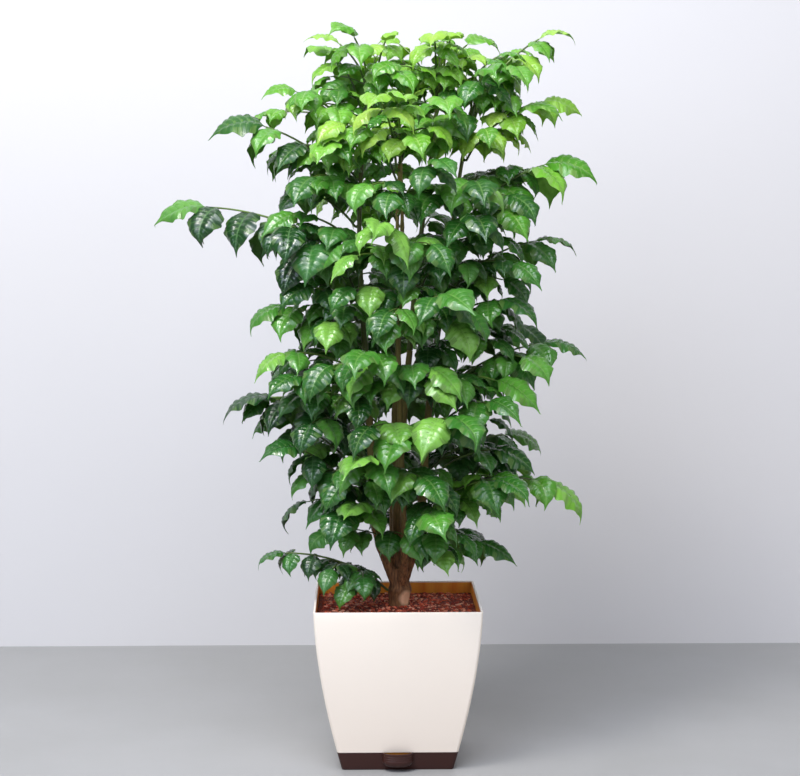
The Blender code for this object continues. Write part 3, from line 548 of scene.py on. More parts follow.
def buildSoil():
    profile = innerProfile(soilBed["level"], 6)
    gap, corner, count = planter["gap"], planter["corner"] - planter["wall"], soilBed["grid"]
    edge = profile[-1][1] - gap

    def roundedSpot(x, y, half):
        # a point of the square, pulled onto its rounded corner
        near = half - corner
        if abs(x) > near and abs(y) > near:
            arm = Vector((abs(x) - near, abs(y) - near))
            arm *= min(1, corner / arm.length)
            return math.copysign(near + arm.x, x), math.copysign(near + arm.y, y)
        return x, y

    points, faces, index = [], [], {}
    for j in range(count + 1):
        for i in range(count + 1):
            x, y = roundedSpot(edge * (2 * i / count - 1), edge * (2 * j / count - 1), edge)
            index[i, j] = len(points)
            points.append(Vector((x, y, soilHeight(x, y))))
    for j in range(count):
        for i in range(count):
            faces.append((index[i, j], index[i + 1, j], index[i + 1, j + 1], index[i, j + 1]))
    rim = [(i, 0) for i in range(count)] + [(count, j) for j in range(count)]
    rim += [(count - i, count) for i in range(count)] + [(0, count - j) for j in range(count)]
    above = [index[spot] for spot in rim]
    for z, half in reversed(profile[:-1]):
        low = z + (gap if z == profile[0][0] else 0)
        below = []
        for i, j in rim:
            x, y = points[index[i, j]].xy * ((half - gap) / edge)
            below.append(len(points))
            points.append(Vector((x, y, low)))
        for k in range(len(rim)):
            n = (k + 1) % len(rim)
            faces.append((below[k], below[n], above[n], above[k]))
        above = below
    faces.append(tuple(reversed(above)))
    newPiece("potting_soil", points, faces, [pottingMix()], ["soil"], "soil", 60)
    print(f"soil: {len(faces)} faces")
    return edge


def buildChips(edge):
    rnd = random.Random(31)
    # an icosahedron for each chip: corners and sides
    turn = (1 + 5 ** 0.5) / 2
    ball = [Vector(p).normalized() for p in (
        (-1, turn, 0), (1, turn, 0), (-1, -turn, 0), (1, -turn, 0), (0, -1, turn), (0, 1, turn),
        (0, -1, -turn), (0, 1, -turn), (turn, 0, -1), (turn, 0, 1), (-turn, 0, -1), (-turn, 0, 1))]
    sides = ((0, 11, 5), (0, 5, 1), (0, 1, 7), (0, 7, 10), (0, 10, 11), (1, 5, 9), (5, 11, 4), (11, 10, 2),
             (10, 7, 6), (7, 1, 8), (3, 9, 4), (3, 4, 2), (3, 2, 6), (3, 6, 8), (3, 8, 9), (4, 9, 5),
             (2, 4, 11), (6, 2, 10), (8, 6, 7), (9, 8, 1))
    points, faces, shades = [], [], []
    trunkX, trunkY, trunkRoom = soilBed["trunkRoom"]
    room, tilt = edge - soilBed["chipEdge"], soilBed["chipTilt"]
    least, most = soilBed["chipSize"]
    for _ in range(soilBed["chips"]):
        x, y = rnd.uniform(-room, room), rnd.uniform(-room, room)
        size = least + (most - least) * rnd.random() ** soilBed["smallOnes"]
        stretch = Vector([size * rnd.uniform(*limits) for limits in soilBed["chipStretch"]])
        spin = Euler((rnd.uniform(-tilt, tilt), rnd.uniform(-tilt, tilt), rnd.uniform(0, 6.28)))
        shade = rnd.random()
        if (Vector((x, y)) - Vector((trunkX, trunkY))).length < trunkRoom:
            continue
        pose = spin.to_matrix()
        centre = Vector((x, y, soilHeight(x, y) + stretch.z * soilBed["chipRise"]))
        faces += [tuple(len(points) + k for k in side) for side in sides]
        for spot in ball:
            points.append(centre + pose @ (spot * stretch * (rnd.uniform(*soilBed["chipSwell"]) / 2)))
        shades += [shade] * len(ball)
    chips = newPiece("bark_chips", points, faces, [barkChips()], (), "soil", 25)
    chips.data.attributes.new("chipShade", "FLOAT", "POINT").data.foreach_set("value", shades)
    print(f"bark chips: {len(shades) // len(ball)}")


# Stems


# Stem axes from the trunk upwards, in mm, with the radius at each point
stemAxes = {
    "trunk": (
        (3, 2, 150, 13.0), (3, 2, 196, 13.0), (4, 2, 208, 12.5), (3, 2, 222, 12.0), (2, 2, 234, 11.0),
    ),
    "a": (
        (0, 1, 216, 8.5), (-12, -2, 244, 7.0), (-22, -6, 272, 6.0), (-29, -9, 310, 5.2), (-31, -10, 360, 4.6),
        (-33, -9, 420, 4.2), (-38, -7, 500, 3.7), (-43, -5, 575, 3.2), (-45, -2, 645, 2.8),
        (-43, 1, 710, 2.4), (-36, 3, 765, 2.0), (-28, 3, 815, 1.6),
    ),
    "b": (
        (3, 3, 222, 8.0), (2, 4, 256, 6.6), (0, 5, 300, 5.6), (3, 6, 350, 5.0), (9, 6, 420, 4.4),
        (16, 4, 500, 3.8), (23, 2, 580, 3.2), (32, 0, 660, 2.8), (42, -3, 740, 2.3), (52, -5, 830, 1.7),
    ),
    "c": (
        (6, 2, 216, 8.5), (15, -2, 240, 7.0), (24, -6, 268, 6.0), (30, -9, 310, 5.3), (34, -10, 370, 4.7),
        (39, -8, 430, 4.2), (47, -5, 500, 3.7), (56, -2, 570, 3.2), (66, 0, 640, 2.8), (76, 2, 710, 2.3),
        (90, 2, 792, 1.7),
    ),
    "d": (
        (3, 7, 222, 7.0), (0, 18, 250, 6.0), (-3, 29, 285, 5.2), (-4, 37, 335, 4.6), (-2, 44, 400, 4.1),
        (3, 50, 500, 3.4), (7, 56, 590, 2.8), (8, 60, 680, 2.3), (4, 62, 770, 1.7),
    ),
    "e": (
        (6, -3, 212, 6.0), (8, -16, 232, 5.2), (9, -29, 262, 4.6), (8, -38, 305, 4.2), (5, -44, 360, 3.9),
        (3, -48, 430, 3.5), (1, -52, 500, 3.1), (-1, -55, 580, 2.6), (0, -57, 665, 2.0), (3, -58, 740, 1.6),
    ),
}

stems = {
    "trunkSides": 8,
    "limbSides": 7,
    "shootSides": 6,
    "limbTop": 0.500,
    "shoots": ("a", "b", "c"),
    "step": 0.004,                  # spacing of the fine rings
    "fineSides": 14,
    "voxel": 0.0012,
    "barkDepth": 0.0007,            # depth of the fissures on the trunk, and on the limbs above it
    "limbBarkDepth": 0.000315,
    "deepBelow": 0.25,
    "scarSwell": 0.16,              # how much a stem thickens where a frond stands
    "scarHalf": 0.005,
    "barkBrown": "#A07045",
    "barkDark": "#3E2412",
    "barkWarm": "#7A5228",
    "barkOlive": "#7C7A3C",         # thinner limbs are still greenish
    "oliveFrom": (0.24, 0.36),
    "barkPale": "#E8B890",
    "palePatch": (0.0125, -0.009, 0.197),
    "patchSize": 0.012,
    "shootGreen": "#66782E",
    "shootBrown": "#4E4722",
    "shootDot": "#A59A6A",
}


def tubeData(path, radii, sides):
    # closed tube whose rings keep the same turn along the path
    side = (path[1] - path[0]).normalized().orthogonal().normalized()
    points = []
    for i, centre in enumerate(path):
        tangent = (path[min(i + 1, len(path) - 1)] - path[max(i - 1, 0)]).normalized()
        side = (side - tangent * side.dot(tangent)).normalized()
        across = tangent.cross(side)
        for k in range(sides):
            angle = 2 * math.pi * k / sides
            points.append(centre + (side * math.cos(angle) + across * math.sin(angle)) * radii[i])
    return points, loftFaces(len(path), sides)


def stemAt(name, height):
    # the stem's axis and radius at a height
    rows = stemAxes[name]
    z = height * 1000
    for low, high in zip(rows, rows[1:]):
        if z <= high[2]:
            break
    share = (z - low[2]) / (high[2] - low[2])
    mixed = [a + (b - a) * share for a, b in zip(low, high)]
    return Vector(mixed[:3]) / 1000, mixed[3] / 1000


def stemTubes():
    # path and radii of every stem; above limbTop some go on as green shoots
    woody, green = {}, {}
    for name, rows in stemAxes.items():
        path = [Vector(row[:3]) / 1000 for row in rows]
        radii = [row[3] / 1000 for row in rows]
        if name not in stems["shoots"]:
            woody[name] = (path, radii)
            continue
        split = next(i for i, point in enumerate(path) if point.z >= stems["limbTop"])
        woody[name] = (path[: split + 1], radii[: split + 1])
        direction = (path[split + 1] - path[split]).normalized()
        green[name] = ([path[split] + direction * planter["gap"], *path[split + 1:]], radii[split:])
    return woody, green


def smoothTube(path, radii, scars):
    # the same stem on a smooth curve, a little thicker at each frond's scar
    spots, sizes = [], []
    for i in range(len(path) - 1):
        a, b = path[max(i - 1, 0)], path[i]
        c, d = path[i + 1], path[min(i + 2, len(path) - 1)]
        steps = max(1, round((c - b).length / stems["step"]))
        for k in range(steps):
            t = k / steps
            late = (a * 2 - b * 5 + c * 4 - d) * t * t + (b * 3 - a - c * 3 + d) * t ** 3
            spots.append((b * 2 + (c - a) * t + late) * 0.5)
            sizes.append(radii[i] + (radii[i + 1] - radii[i]) * t)
    spots.append(path[-1])
    sizes.append(radii[-1])
    swollen = []
    for spot, size in zip(spots, sizes):
        near = min([abs(spot.z - scar) for scar in scars] or [1.0])
        swollen.append(size * (1 + stems["scarSwell"] * math.exp(-((near / stems["scarHalf"]) ** 2))))
    return tubeData(spots, swollen, stems["fineSides"])


def fissuredBark():
    # young woody bark: brown with cork fissures, greener higher up, and a pale cut scar low on the right
    skin = Skin("fissured_bark")
    streaks = skin.streaks((420, 420, 70), 6.0, 0.7)
    tone = skin.mix(skin.ranged(streaks, 0.35, 0.65), stems["barkDark"], stems["barkBrown"])
    warm = skin.mix(skin.ranged(skin.noise(45.0, 3.0), 0.45, 0.75, 0.0, 0.6), tone, stems["barkWarm"])
    rise = skin.ranged(skin.split(skin.spot)["Z"], *stems["oliveFrom"], 0.0, 0.65)
    aged = skin.mix(rise, warm, stems["barkOlive"])
    toScar = {0: skin.spot, 1: stems["palePatch"]}
    away = addNode(skin.tree, "ShaderNodeVectorMath", toScar, operation="DISTANCE")
    ragged = skin.math("MULTIPLY_ADD", streaks, 0.006, away.outputs["Value"])
    patch = skin.ranged(ragged, stems["patchSize"] * 0.8, stems["patchSize"] * 1.2, 1.0, 0.0)
    colour = skin.mix(patch, aged, stems["barkPale"])
    return skin.dress(colour, 0.78, {"Normal": skin.bump(streaks, 0.7, 0.0008)})


def greenShoot():
    # unripened shoot: green skin, thin, waxy, with corky pale dots
    skin = Skin("waxy_green_shoot")
    streaks = skin.streaks((300, 300, 60), 4.0)
    tone = skin.mix(streaks, stems["shootGreen"], stems["shootBrown"])
    pale = skin.ranged(skin.cells(380.0)["Distance"], 0.10, 0.18, 0.55, 0.0)
    relief = skin.bump(streaks, 0.4, 0.0004)
    return skin.dress(skin.mix(pale, tone, stems["shootDot"]), 0.5, {"Normal": relief})


def buildStems(space):
    # the plain tubes decide where fronds may stand; the fine ones are shown
    woody, green = stemTubes()
    trees = {}
    scars = {name: [row[1] / 1000 for row in frondRows if row[0] == name] for name in stemAxes}
    points, faces = [], []
    for name, (path, radii) in woody.items():
        sides = stems["trunkSides"] if name == "trunk" else stems["limbSides"]
        data = tubeData(path, radii, sides)
        trees[name] = BVHTree.FromPolygons(*data)
        space.add("trunk", *data)
        spots, walls = smoothTube(path, radii, scars[name])
        faces += [tuple(i + len(points) for i in wall) for wall in walls]
        points += spots
    fused = looseObject("trunk_tubes", points, faces)
    remesh = fused.modifiers.new("fuse", "REMESH")
    remesh.mode = "VOXEL"
    remesh.voxel_size = stems["voxel"]
    mesh = appliedMesh(fused, "woody_stems")
    roughenBark(mesh)
    dressPiece(placed("woody_stems", mesh), [fissuredBark()], ["trunk"], "bark", 70)
    skin = greenShoot()
    for name, (path, radii) in green.items():
        data = tubeData(path, radii, stems["shootSides"])
        space.add(f"shoot_{name}", *data)
        newPiece(f"green_shoot_{name}", *smoothTube(path, radii, scars[name]), [skin],
                 [f"shoot_{name}"], "green_stem", 60)
        low, walls = tubeData(*woody[name], stems["limbSides"])
        both = [tuple(i + len(low) for i in wall) for wall in data[1]]
        trees[name] = BVHTree.FromPolygons(low + data[0], walls + both)
    print(f"stems: {len(mesh.polygons)} faces of bark and {len(green)} green shoots")
    return trees


def roughenBark(mesh):
    # fissures along the stems, deepest on the thick trunk
    count = len(mesh.vertices)
    spots, normals = np.empty(count * 3, np.float32), np.empty(count * 3, np.float32)
    mesh.vertices.foreach_get("co", spots)
    mesh.vertex_normals.foreach_get("vector", normals)
    spots, normals = spots.reshape(-1, 3), normals.reshape(-1, 3)
    ridges = np.empty(count, np.float32)
    for i, (x, y, z) in enumerate(spots.tolist()):
        stretched = Vector((x * 330, y * 330, z * 70))
        ridges[i] = noise.noise(stretched) + 0.5 * noise.noise(stretched * 2.3)
    depth = np.where(spots[:, 2] < stems["deepBelow"], stems["barkDepth"], stems["limbBarkDepth"])
    mesh.vertices.foreach_set("co", (spots + normals * (ridges * depth)[:, None]).ravel())
    mesh.update()


# Where leaflets grow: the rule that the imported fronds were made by


# Shares of a leaflet's length or half width, metres and degrees
growth = {
    "blade": 0.0007,
    "bladeWidth": 0.64,
    "bladeWave": 0.030,
    "midShare": 0.35,
    "neckShare": 0.70,
    "neckWidth": 0.62,
    "leafSteps": 20,
    "lowestPitch": -100,
    "liftStart": 0.4,
    "bendPower": 0.8,
    "firstRoll": 0.4,
    "tipBend": (0.5, -58),
    "rootShare": 0.05,
    "ownShare": 0.15,
    "lean": 24,
    "lightSide": Vector((0, -1, 0)),
    "clear": 0.0005,
    "clearings": 10,
    "shorter": 0.96,
    "swing": 0.16,
    "firstSpace": 0.22,
    "singleSpace": 0.62,
    "pinnaRoom": 0.35,
    "pinnaNode": 0.58,
    "pinnaSpread": 58,
    "pinnaLift": 0.30,
    "pinnaTip": 0.92,
    "pinnaSide": 0.84,
    "tipSize": 1.12,
    "stalkBase": 0.0016,
    "stalkEnd": 0.0010,
    "stalkBare": 0.024,
    "pinnaRadius": 0.0009,
    "nodeHalf": 0.0009,
    "nodeApart": 0.0040,
    "flatLeast": 0.15,              # a direction this near to upright has no heading of its own
    "spineSteps": 4,
    "tuck": 0.0040,
    "leadShare": 0.36,
    "trailShare": 0.34,
}

spreads = {
    "length": (0.88, 1.14),
    "width": (0.88, 1.12),
    "start": (-8, 8),
    "end": (-14, 14),
    "roll": (-24, 24),
    "fold": (-0.10, 0.18),
    "sweep": (24, 56),
    "reach": (0.85, 1.10),
}

# How leaflets of each age hang: start and end pitch in degrees, and the stalk's arch
agePoses = {
    "young": {"start": 8, "end": -70, "arch": 0.40},
    "fresh": {"start": 4, "end": -72, "arch": 0.40},
    "mature": {"start": -4, "end": -80, "arch": 0.38},
    "old": {"start": -8, "end": -86, "arch": 0.36},
}

# Each frond: stem, height on it, end of the rachis (x, y, z), leaflet length, all in mm,
# then the leaflets at each side of every pair from the tip inwards, and its age; the darkest tones, on low,
# back and inner fronds, are partly painted shade
frondRows = (
    # Left side, from the pot up
    ("trunk", 206, (-134, -24, 256), 42, "1133", "old"),
    ("a", 262, (-42, -74, 320), 52, "13", "mature"),
    ("a", 296, (-112, -52, 384), 62, "113", "old"),
    ("a", 332, (-124, 26, 408), 64, "113", "mature"),
    ("a", 386, (-146, -14, 442), 66, "1113", "old"),
    ("a", 430, (-112, -70, 474), 58, "13", "mature"),
    ("a", 466, (-90, 66, 512), 54, "113", "mature"),
    ("a", 508, (-130, -24, 554), 54, "1113", "mature"),
    ("a", 556, (-78, 78, 614), 52, "113", "mature"),
    ("a", 600, (-228, -4, 673), 64, "11113", "old"),
    ("a", 684, (-156, -18, 768), 62, "1113", "mature"),
    ("a", 716, (-76, -84, 744), 46, "13", "fresh"),
    ("a", 738, (-118, -30, 808), 48, "113", "fresh"),
    ("a", 764, (-72, 34, 853), 50, "113", "fresh"),
    ("a", 796, (-50, -26, 872), 54, "113", "fresh"),
    # Right side, from the pot up
    ("c", 252, (96, -26, 270), 50, "113", "mature"),
    ("c", 262, (82, 58, 270), 46, "13", "old"),
    ("c", 300, (114, -84, 352), 54, "13", "mature"),
    ("c", 322, (178, -10, 340), 60, "1113", "fresh"),
    ("c", 356, (134, 40, 392), 58, "113", "old"),
    ("c", 398, (104, -80, 444), 58, "13", "mature"),
    ("c", 438, (176, 4, 508), 58, "1113", "mature"),
    ("c", 458, (116, -54, 468), 62, "13", "mature"),
    ("c", 500, (158, 62, 524), 52, "113", "mature"),
    ("c", 530, (118, -48, 562), 56, "13", "mature"),
    ("c", 566, (168, 20, 632), 58, "113", "mature"),
    ("c", 594, (134, -64, 606), 52, "13", "mature"),
    ("c", 618, (86, -100, 660), 58, "13", "mature"),
    ("c", 636, (175, -16, 723), 70, "113", "fresh"),
    ("c", 668, (88, -104, 702), 58, "13", "mature"),
    ("c", 700, (158, 46, 714), 50, "113", "mature"),
    ("c", 730, (142, -26, 783), 52, "113", "young"),
    ("c", 756, (100, -52, 826), 54, "13", "mature"),
    ("c", 776, (171, 4, 874), 48, "113", "fresh"),
    # Front
    ("e", 268, (34, -122, 318), 56, "13", "mature"),
    ("e", 330, (-36, -126, 382), 62, "113", "mature"),
    ("e", 392, (58, -132, 430), 64, "113", "mature"),
    ("e", 456, (-34, -146, 506), 62, "113", "mature"),
    ("e", 520, (48, -140, 572), 60, "113", "mature"),
    ("e", 596, (-18, -148, 652), 60, "113", "mature"),
    ("e", 664, (38, -130, 722), 58, "113", "mature"),
    ("e", 716, (-18, -116, 790), 54, "113", "young"),
    ("b", 726, (50, -92, 792), 52, "113", "young"),
    # Back
    ("d", 276, (30, 134, 312), 54, "13", "old"),
    ("d", 350, (-58, 150, 398), 58, "113", "old"),
    ("d", 420, (62, 158, 462), 60, "113", "mature"),
    ("d", 490, (-48, 168, 540), 58, "113", "mature"),
    ("d", 570, (56, 164, 612), 58, "113", "mature"),
    ("d", 650, (-44, 156, 700), 54, "113", "fresh"),
    ("d", 732, (38, 138, 782), 50, "113", "fresh"),
    # Top
    ("b", 802, (44, -50, 866), 50, "1113", "young"),
    ("b", 816, (85, 18, 868), 49, "1113", "young"),
    ("b", 770, (2, 52, 858), 50, "113", "fresh"),
)

# Smaller sprays that only this scene adds, in the same form: they close the crown between the fronds
sprayRows = (
    # Left, top, right, front and middle
    ("a", 806, (-68, 8, 868), 42, "113", "fresh"),
    ("a", 672, (-84, -78, 702), 38, "113", "fresh"),
    ("a", 628, (-116, -36, 664), 54, "13", "mature"),
    ("a", 536, (-96, -52, 578), 52, "13", "mature"),
    ("a", 408, (-92, 30, 446), 54, "13", "old"),
    ("a", 420, (-160, 20, 440), 50, "113", "mature"),
    ("b", 806, (54, 16, 872), 36, "13", "young"),
    ("b", 804, (4, 12, 868), 36, "13", "young"),
    ("c", 784, (118, -26, 850), 44, "13", "fresh"),
    ("c", 740, (176, 10, 800), 46, "113", "young"),
    ("c", 340, (110, -46, 384), 54, "13", "mature"),
    ("e", 556, (14, -114, 612), 56, "13", "mature"),
    ("b", 560, (44, -52, 604), 50, "13", "old"),
    ("b", 470, (44, -44, 512), 50, "13", "old"),
    # Back and sides
    ("d", 316, (44, 108, 356), 54, "13", "old"),
    ("d", 610, (44, 122, 660), 54, "13", "mature"),
    ("d", 700, (-6, 120, 750), 50, "13", "fresh"),
    ("a", 650, (-120, 40, 694), 50, "13", "mature"),
    ("a", 470, (-130, -50, 500), 52, "13", "mature"),
    ("a", 440, (-130, 50, 480), 52, "13", "old"),
    ("c", 788, (138, 42, 860), 42, "13", "fresh"),
    ("b", 820, (62, -40, 868), 36, "13", "young"),
    ("d", 760, (-4, 104, 826), 42, "13", "fresh"),
    ("d", 764, (-40, 84, 838), 40, "13", "fresh"),
    ("d", 752, (44, 110, 834), 42, "13", "fresh"),
    ("d", 500, (-50, 120, 540), 52, "13", "old"),
    ("d", 380, (-50, 110, 420), 52, "13", "old"),
    # Upper gaps, filled last
    ("e", 725, (0, -112, 790), 42, "13", "young"),
    ("a", 746, (-150, 90, 792), 42, "13", "fresh"),
    ("a", 706, (-120, 96, 752), 44, "13", "mature"),
    ("a", 760, (-104, -70, 806), 40, "13", "fresh"),
    ("a", 812, (-14, -26, 868), 34, "13", "young"),
)

# What a leaflet tries when its place is taken: turn sideways, lift, both in degrees, and share of its length
tries = (
    (0, 0, 1.0), (14, 6, 1.0), (-14, -6, 1.0), (0, 22, 1.0), (26, -10, 0.95), (-26, 10, 0.95),
    (0, -24, 0.95), (38, 18, 0.9), (-38, -16, 0.9), (12, 40, 0.85), (-12, 34, 0.8), (20, -30, 0.75),
)
# How far a rachis bows to its side to find room, as shares of its span
bows = (0.0, 0.06, -0.06, 0.12, -0.12, 0.18, -0.18, 0.26, -0.26)


class Space:
    # the plain forms that stand so far, to try each new one against; fine leaves still bend past theirs

    def __init__(self):
        self.owners = []
        self.trees = []
        self.boxes = []

    def add(self, owner, points, faces):
        self.owners.append(owner)
        self.trees.append(BVHTree.FromPolygons(points, faces))
        self.boxes.append(boxOf(points))

    def free(self, points, faces, own=None, skip=None):
        # whether the mesh crosses nothing: only what own holds, or everything but what skip holds
        low, high = boxOf(points)
        tree = None
        for owner, other, (otherLow, otherHigh) in zip(self.owners, self.trees, self.boxes):
            if (own and owner != own) or (skip and owner == skip):
                continue
            if any(low[k] > otherHigh[k] or high[k] < otherLow[k] for k in range(3)):
                continue
            tree = tree or BVHTree.FromPolygons(points, faces)
            if tree.overlap(other):
                return False
        return True


def boxOf(points):
    return (
        [min(point[k] for point in points) for k in range(3)],
        [max(point[k] for point in points) for k in range(3)],
    )


def leafStations(leaf, shares=None):
    # (point, forward, side, normal) along the midrib, which bends down from its start pitch to its end
    across = leaf["heading"].cross(upward).normalized()
    point = leaf["root"].copy()
    steps = growth["leafSteps"]
    spots = []
    for step in range(steps + 1):
        share = step / steps
        bend = (leaf["end"] - leaf["start"]) * share ** growth["bendPower"]
        pitch = math.radians(leaf["start"] + bend)
        forward = leaf["heading"] * math.cos(pitch) + upward * math.sin(pitch)
        if shares is None or any(abs(share - wanted) < 0.5 / steps for wanted in shares):
            roll = math.radians(leaf["roll"]) * (growth["firstRoll"] + (1 - growth["firstRoll"]) * share)
            side = across * math.cos(roll) + across.cross(forward) * math.sin(roll)
            spots.append((point.copy(), forward, side, side.cross(forward)))
        point += forward * leaf["length"] / steps
    return spots


def bladeRims(leaf, extra=0.0):
    # upper and lower points of the plain leaflet past its root: right side, tip, left side, middle
    mid, neck, tip = leafStations(leaf, (growth["midShare"], growth["neckShare"], 1.0))
    half = leaf["length"] * leaf["width"] / 2 + extra
    neckHalf = half * growth["neckWidth"]
    lifts = [shift * leaf["length"] * growth["bladeWave"] for shift in leaf["wave"]]
    fold = half * leaf["fold"]
    places = (
        (mid, half, 0, fold + lifts[0]),
        (neck, neckHalf, 0, fold * growth["neckWidth"] + lifts[1]),
        (tip, 0, extra, 0),
        (neck, -neckHalf, 0, fold * growth["neckWidth"] + lifts[2]),
        (mid, -half, 0, fold + lifts[3]),
        (mid, 0, 0, 0),
    )
    upper, lower = [], []
    for (point, forward, side, normal), sideways, onward, lift in places:
        spot = point + side * sideways + forward * onward + normal * lift
        upper.append(spot + normal * (growth["blade"] / 2 + extra))
        lower.append(spot - normal * (growth["blade"] / 2 + extra))
    return upper, lower


def bladeFaces(upper, lower):
    centreUp, centreDown = upper[-1], lower[-1]
    faces = []
    count = len(upper) - 1
    for i in range(count):
        j = (i + 1) % count
        faces.append((centreUp, upper[i], upper[j]))
        faces.append((centreDown, lower[j], lower[i]))
        if i:
            faces += [(lower[i], lower[j], upper[j]), (lower[i], upper[j], upper[i])]
    return [face for face in faces if len(set(face)) == 3]


def bladeTest(leaf, share):
    # a slightly swollen leaflet from a share of its length on, to try whether it crosses anything
    point, _, side, normal = leafStations(leaf, (share,))[0]
    half = growth["stalkEnd"] + share * leaf["length"] * leaf["width"]
    upper, lower = bladeRims(leaf, growth["clear"])
    thick = normal * (growth["blade"] / 2 + growth["clear"])
    points = [point - side * half + thick, point + side * half + thick, *upper]
    points += [point - side * half - thick, point + side * half - thick, *lower]
    return points, bladeFaces(list(range(8)), list(range(8, 16))) + [(8, 9, 1), (8, 1, 0)]


def hang(space, owner, leaf):
    # places the leaflet in free space, turned, lifted or shortened a little if it has to be
    for turn, lift, scale in tries:
        tried = dict(leaf)
        tried["heading"] = turned(leaf["heading"], turn)
        tried["start"] = leaf["start"] + lift * growth["liftStart"]
        tried["end"] = max(leaf["end"] + lift, growth["lowestPitch"])
        tried["length"] = leaf["length"] * scale
        whole = bladeTest(tried, growth["rootShare"])
        if space.free(*whole, skip=owner) and space.free(*bladeTest(tried, growth["ownShare"]), own=owner):
            space.add(owner, *whole)
            return tried
    return None


def turned(heading, degrees):
    angle = math.radians(degrees)
    return Vector((
        heading.x * math.cos(angle) - heading.y * math.sin(angle),
        heading.x * math.sin(angle) + heading.y * math.cos(angle),
        0,
    ))


class Sprout:
    # the plain mesh of one frond, only to find out which of its leaflets would cross

    def __init__(self):
        self.points = []
        self.faces = []
        self.grown = []
        self.pinna = None

    def close(self, faces, leaf=None):
        for face in faces:
            if len(face) == 4:
                a, b, c, d = face
                longWay = (self.points[a] - self.points[c]).length > (self.points[b] - self.points[d]).length
                halves = [(b, c, d), (b, d, a)] if longWay else [(a, b, c), (a, c, d)]
            else:
                halves = [face]
            self.faces += halves
            self.grown += [leaf or self.pinna] * len(halves)

    def add(self, spots):
        first = len(self.points)
        self.points += spots
        return list(range(first, len(self.points)))

    def ring(self, centre, forward, radius, fallback):
        # left, right and keel corners of the stalk round a point
        side = flatPart(forward, fallback).cross(upward)
        up = side.cross(forward).normalized()
        return self.add([
            centre - side * radius + up * radius * 0.5,
            centre + side * radius + up * radius * 0.5,
            centre - up * radius,
        ])

    def walls(self, low, high, openLeft=False, openRight=False):
        left, right, keel = low
        farLeft, farRight, farKeel = high
        self.close([(left, right, farRight, farLeft)])
        if not openRight:
            self.close([(right, keel, farKeel, farRight)])
        if not openLeft:
            self.close([(keel, left, farLeft, farKeel)])

    def leafBlade(self, root, leaf):
        upper, lower = bladeRims(leaf)
        first = self.add(upper)
        second = self.add(lower)
        self.close(bladeFaces([root[0], root[1], *first], [root[3], root[2], *second]), leaf)

    def branch(self, root, centre, forward, radius):
        left, right, keel = self.ring(centre, forward, radius, forward)
        self.close([
            (root[0], root[1], right, left),
            (root[1], root[2], keel, right),
            (root[3], root[0], left, keel),
            (root[2], root[3], keel),
        ])
        return [left, right, keel]

    def crossed(self):
        tree = BVHTree.FromPolygons(self.points, self.faces)
        found = {}
        for a, b in tree.overlap(tree):
            if a < b and not set(self.faces[a]) & set(self.faces[b]):
                sides = [grown for grown in (self.grown[b], self.grown[a]) if grown]
                sides.sort(key=lambda grown: "length" not in grown)
                found.update({id(grown): grown for grown in sides[:1]})
        return found.values()


def sideRoots(low, high):
    right = (high[1], low[1], low[2], high[2])
    left = (low[0], high[0], high[2], low[2])
    return right, left


def bezier(a, b, c, d, t):
    return a * (1 - t) ** 3 + b * 3 * t * (1 - t) ** 2 + c * 3 * t ** 2 * (1 - t) + d * t ** 3


def footOf(stemTree, axis, radius, out):
    # where a stalk starts: just off the stem's surface, with the surface's own direction
    hit, normal, _, _ = stemTree.ray_cast(axis + out * radius * 3, -out)
    return hit + normal * planter["gap"], normal


def spineOf(foot, normal, end, arch, bow, steps):
    # the rachis: straight off the stem, then an arch to its end, bowed a little to one side
    start = foot + normal * growth["tuck"]
    flat = Vector((end.x - start.x, end.y - start.y, 0))
    out = flat.normalized()
    span = (end - start).length
    slope = math.atan2(end.z - start.z, flat.length)
    sideways = out.cross(upward) * bow * span
    lead = start + pitched(out, slope + arch) * span * growth["leadShare"] + sideways
    trail = end - pitched(out, slope - arch) * span * growth["trailShare"] + sideways
    return [foot] + [bezier(start, lead, trail, end, i / steps) for i in range(steps + 1)]


def pitched(heading, angle):
    return heading * math.cos(angle) + upward * math.sin(angle)


def along(path, back):
    # (point, direction) at a distance back from the path's end
    for i in range(len(path) - 1, 0, -1):
        piece = path[i] - path[i - 1]
        if back <= piece.length or i == 1:
            return path[i] - piece.normalized() * back, piece.normalized()
        back -= piece.length
    return path[0], (path[1] - path[0]).normalized()


def pathLength(path):
    return sum((b - a).length for a, b in zip(path, path[1:]))


def stalkTest(path, radius, extra):
    return tubeData(path, [radius + extra] * len(path), 3)


def leafAt(rnd, root, heading, length, pose, away=Vector()):
    # a leaflet with its own small differences; its face leans towards the light in front
    heading = heading.normalized()
    lean = -growth["lean"] * heading.cross(upward).dot(growth["lightSide"])
    return {
        "root": root,
        "heading": heading,
        "away": away,
        "length": length * rnd.uniform(*spreads["length"]),
        "width": growth["bladeWidth"] * rnd.uniform(*spreads["width"]),
        "start": pose["start"] + rnd.uniform(*spreads["start"]),
        "end": pose["end"] + rnd.uniform(*spreads["end"]),
        "roll": lean + rnd.uniform(*spreads["roll"]),
        "fold": rnd.uniform(*spreads["fold"]),
        "wave": [rnd.uniform(-1, 1) for _ in range(4)],
    }


def flatPart(direction, fallback):
    flat = Vector((direction.x, direction.y, 0))
    if flat.length <= growth["flatLeast"]:
        flat = Vector((fallback.x, fallback.y, 0))
    return flat.normalized()


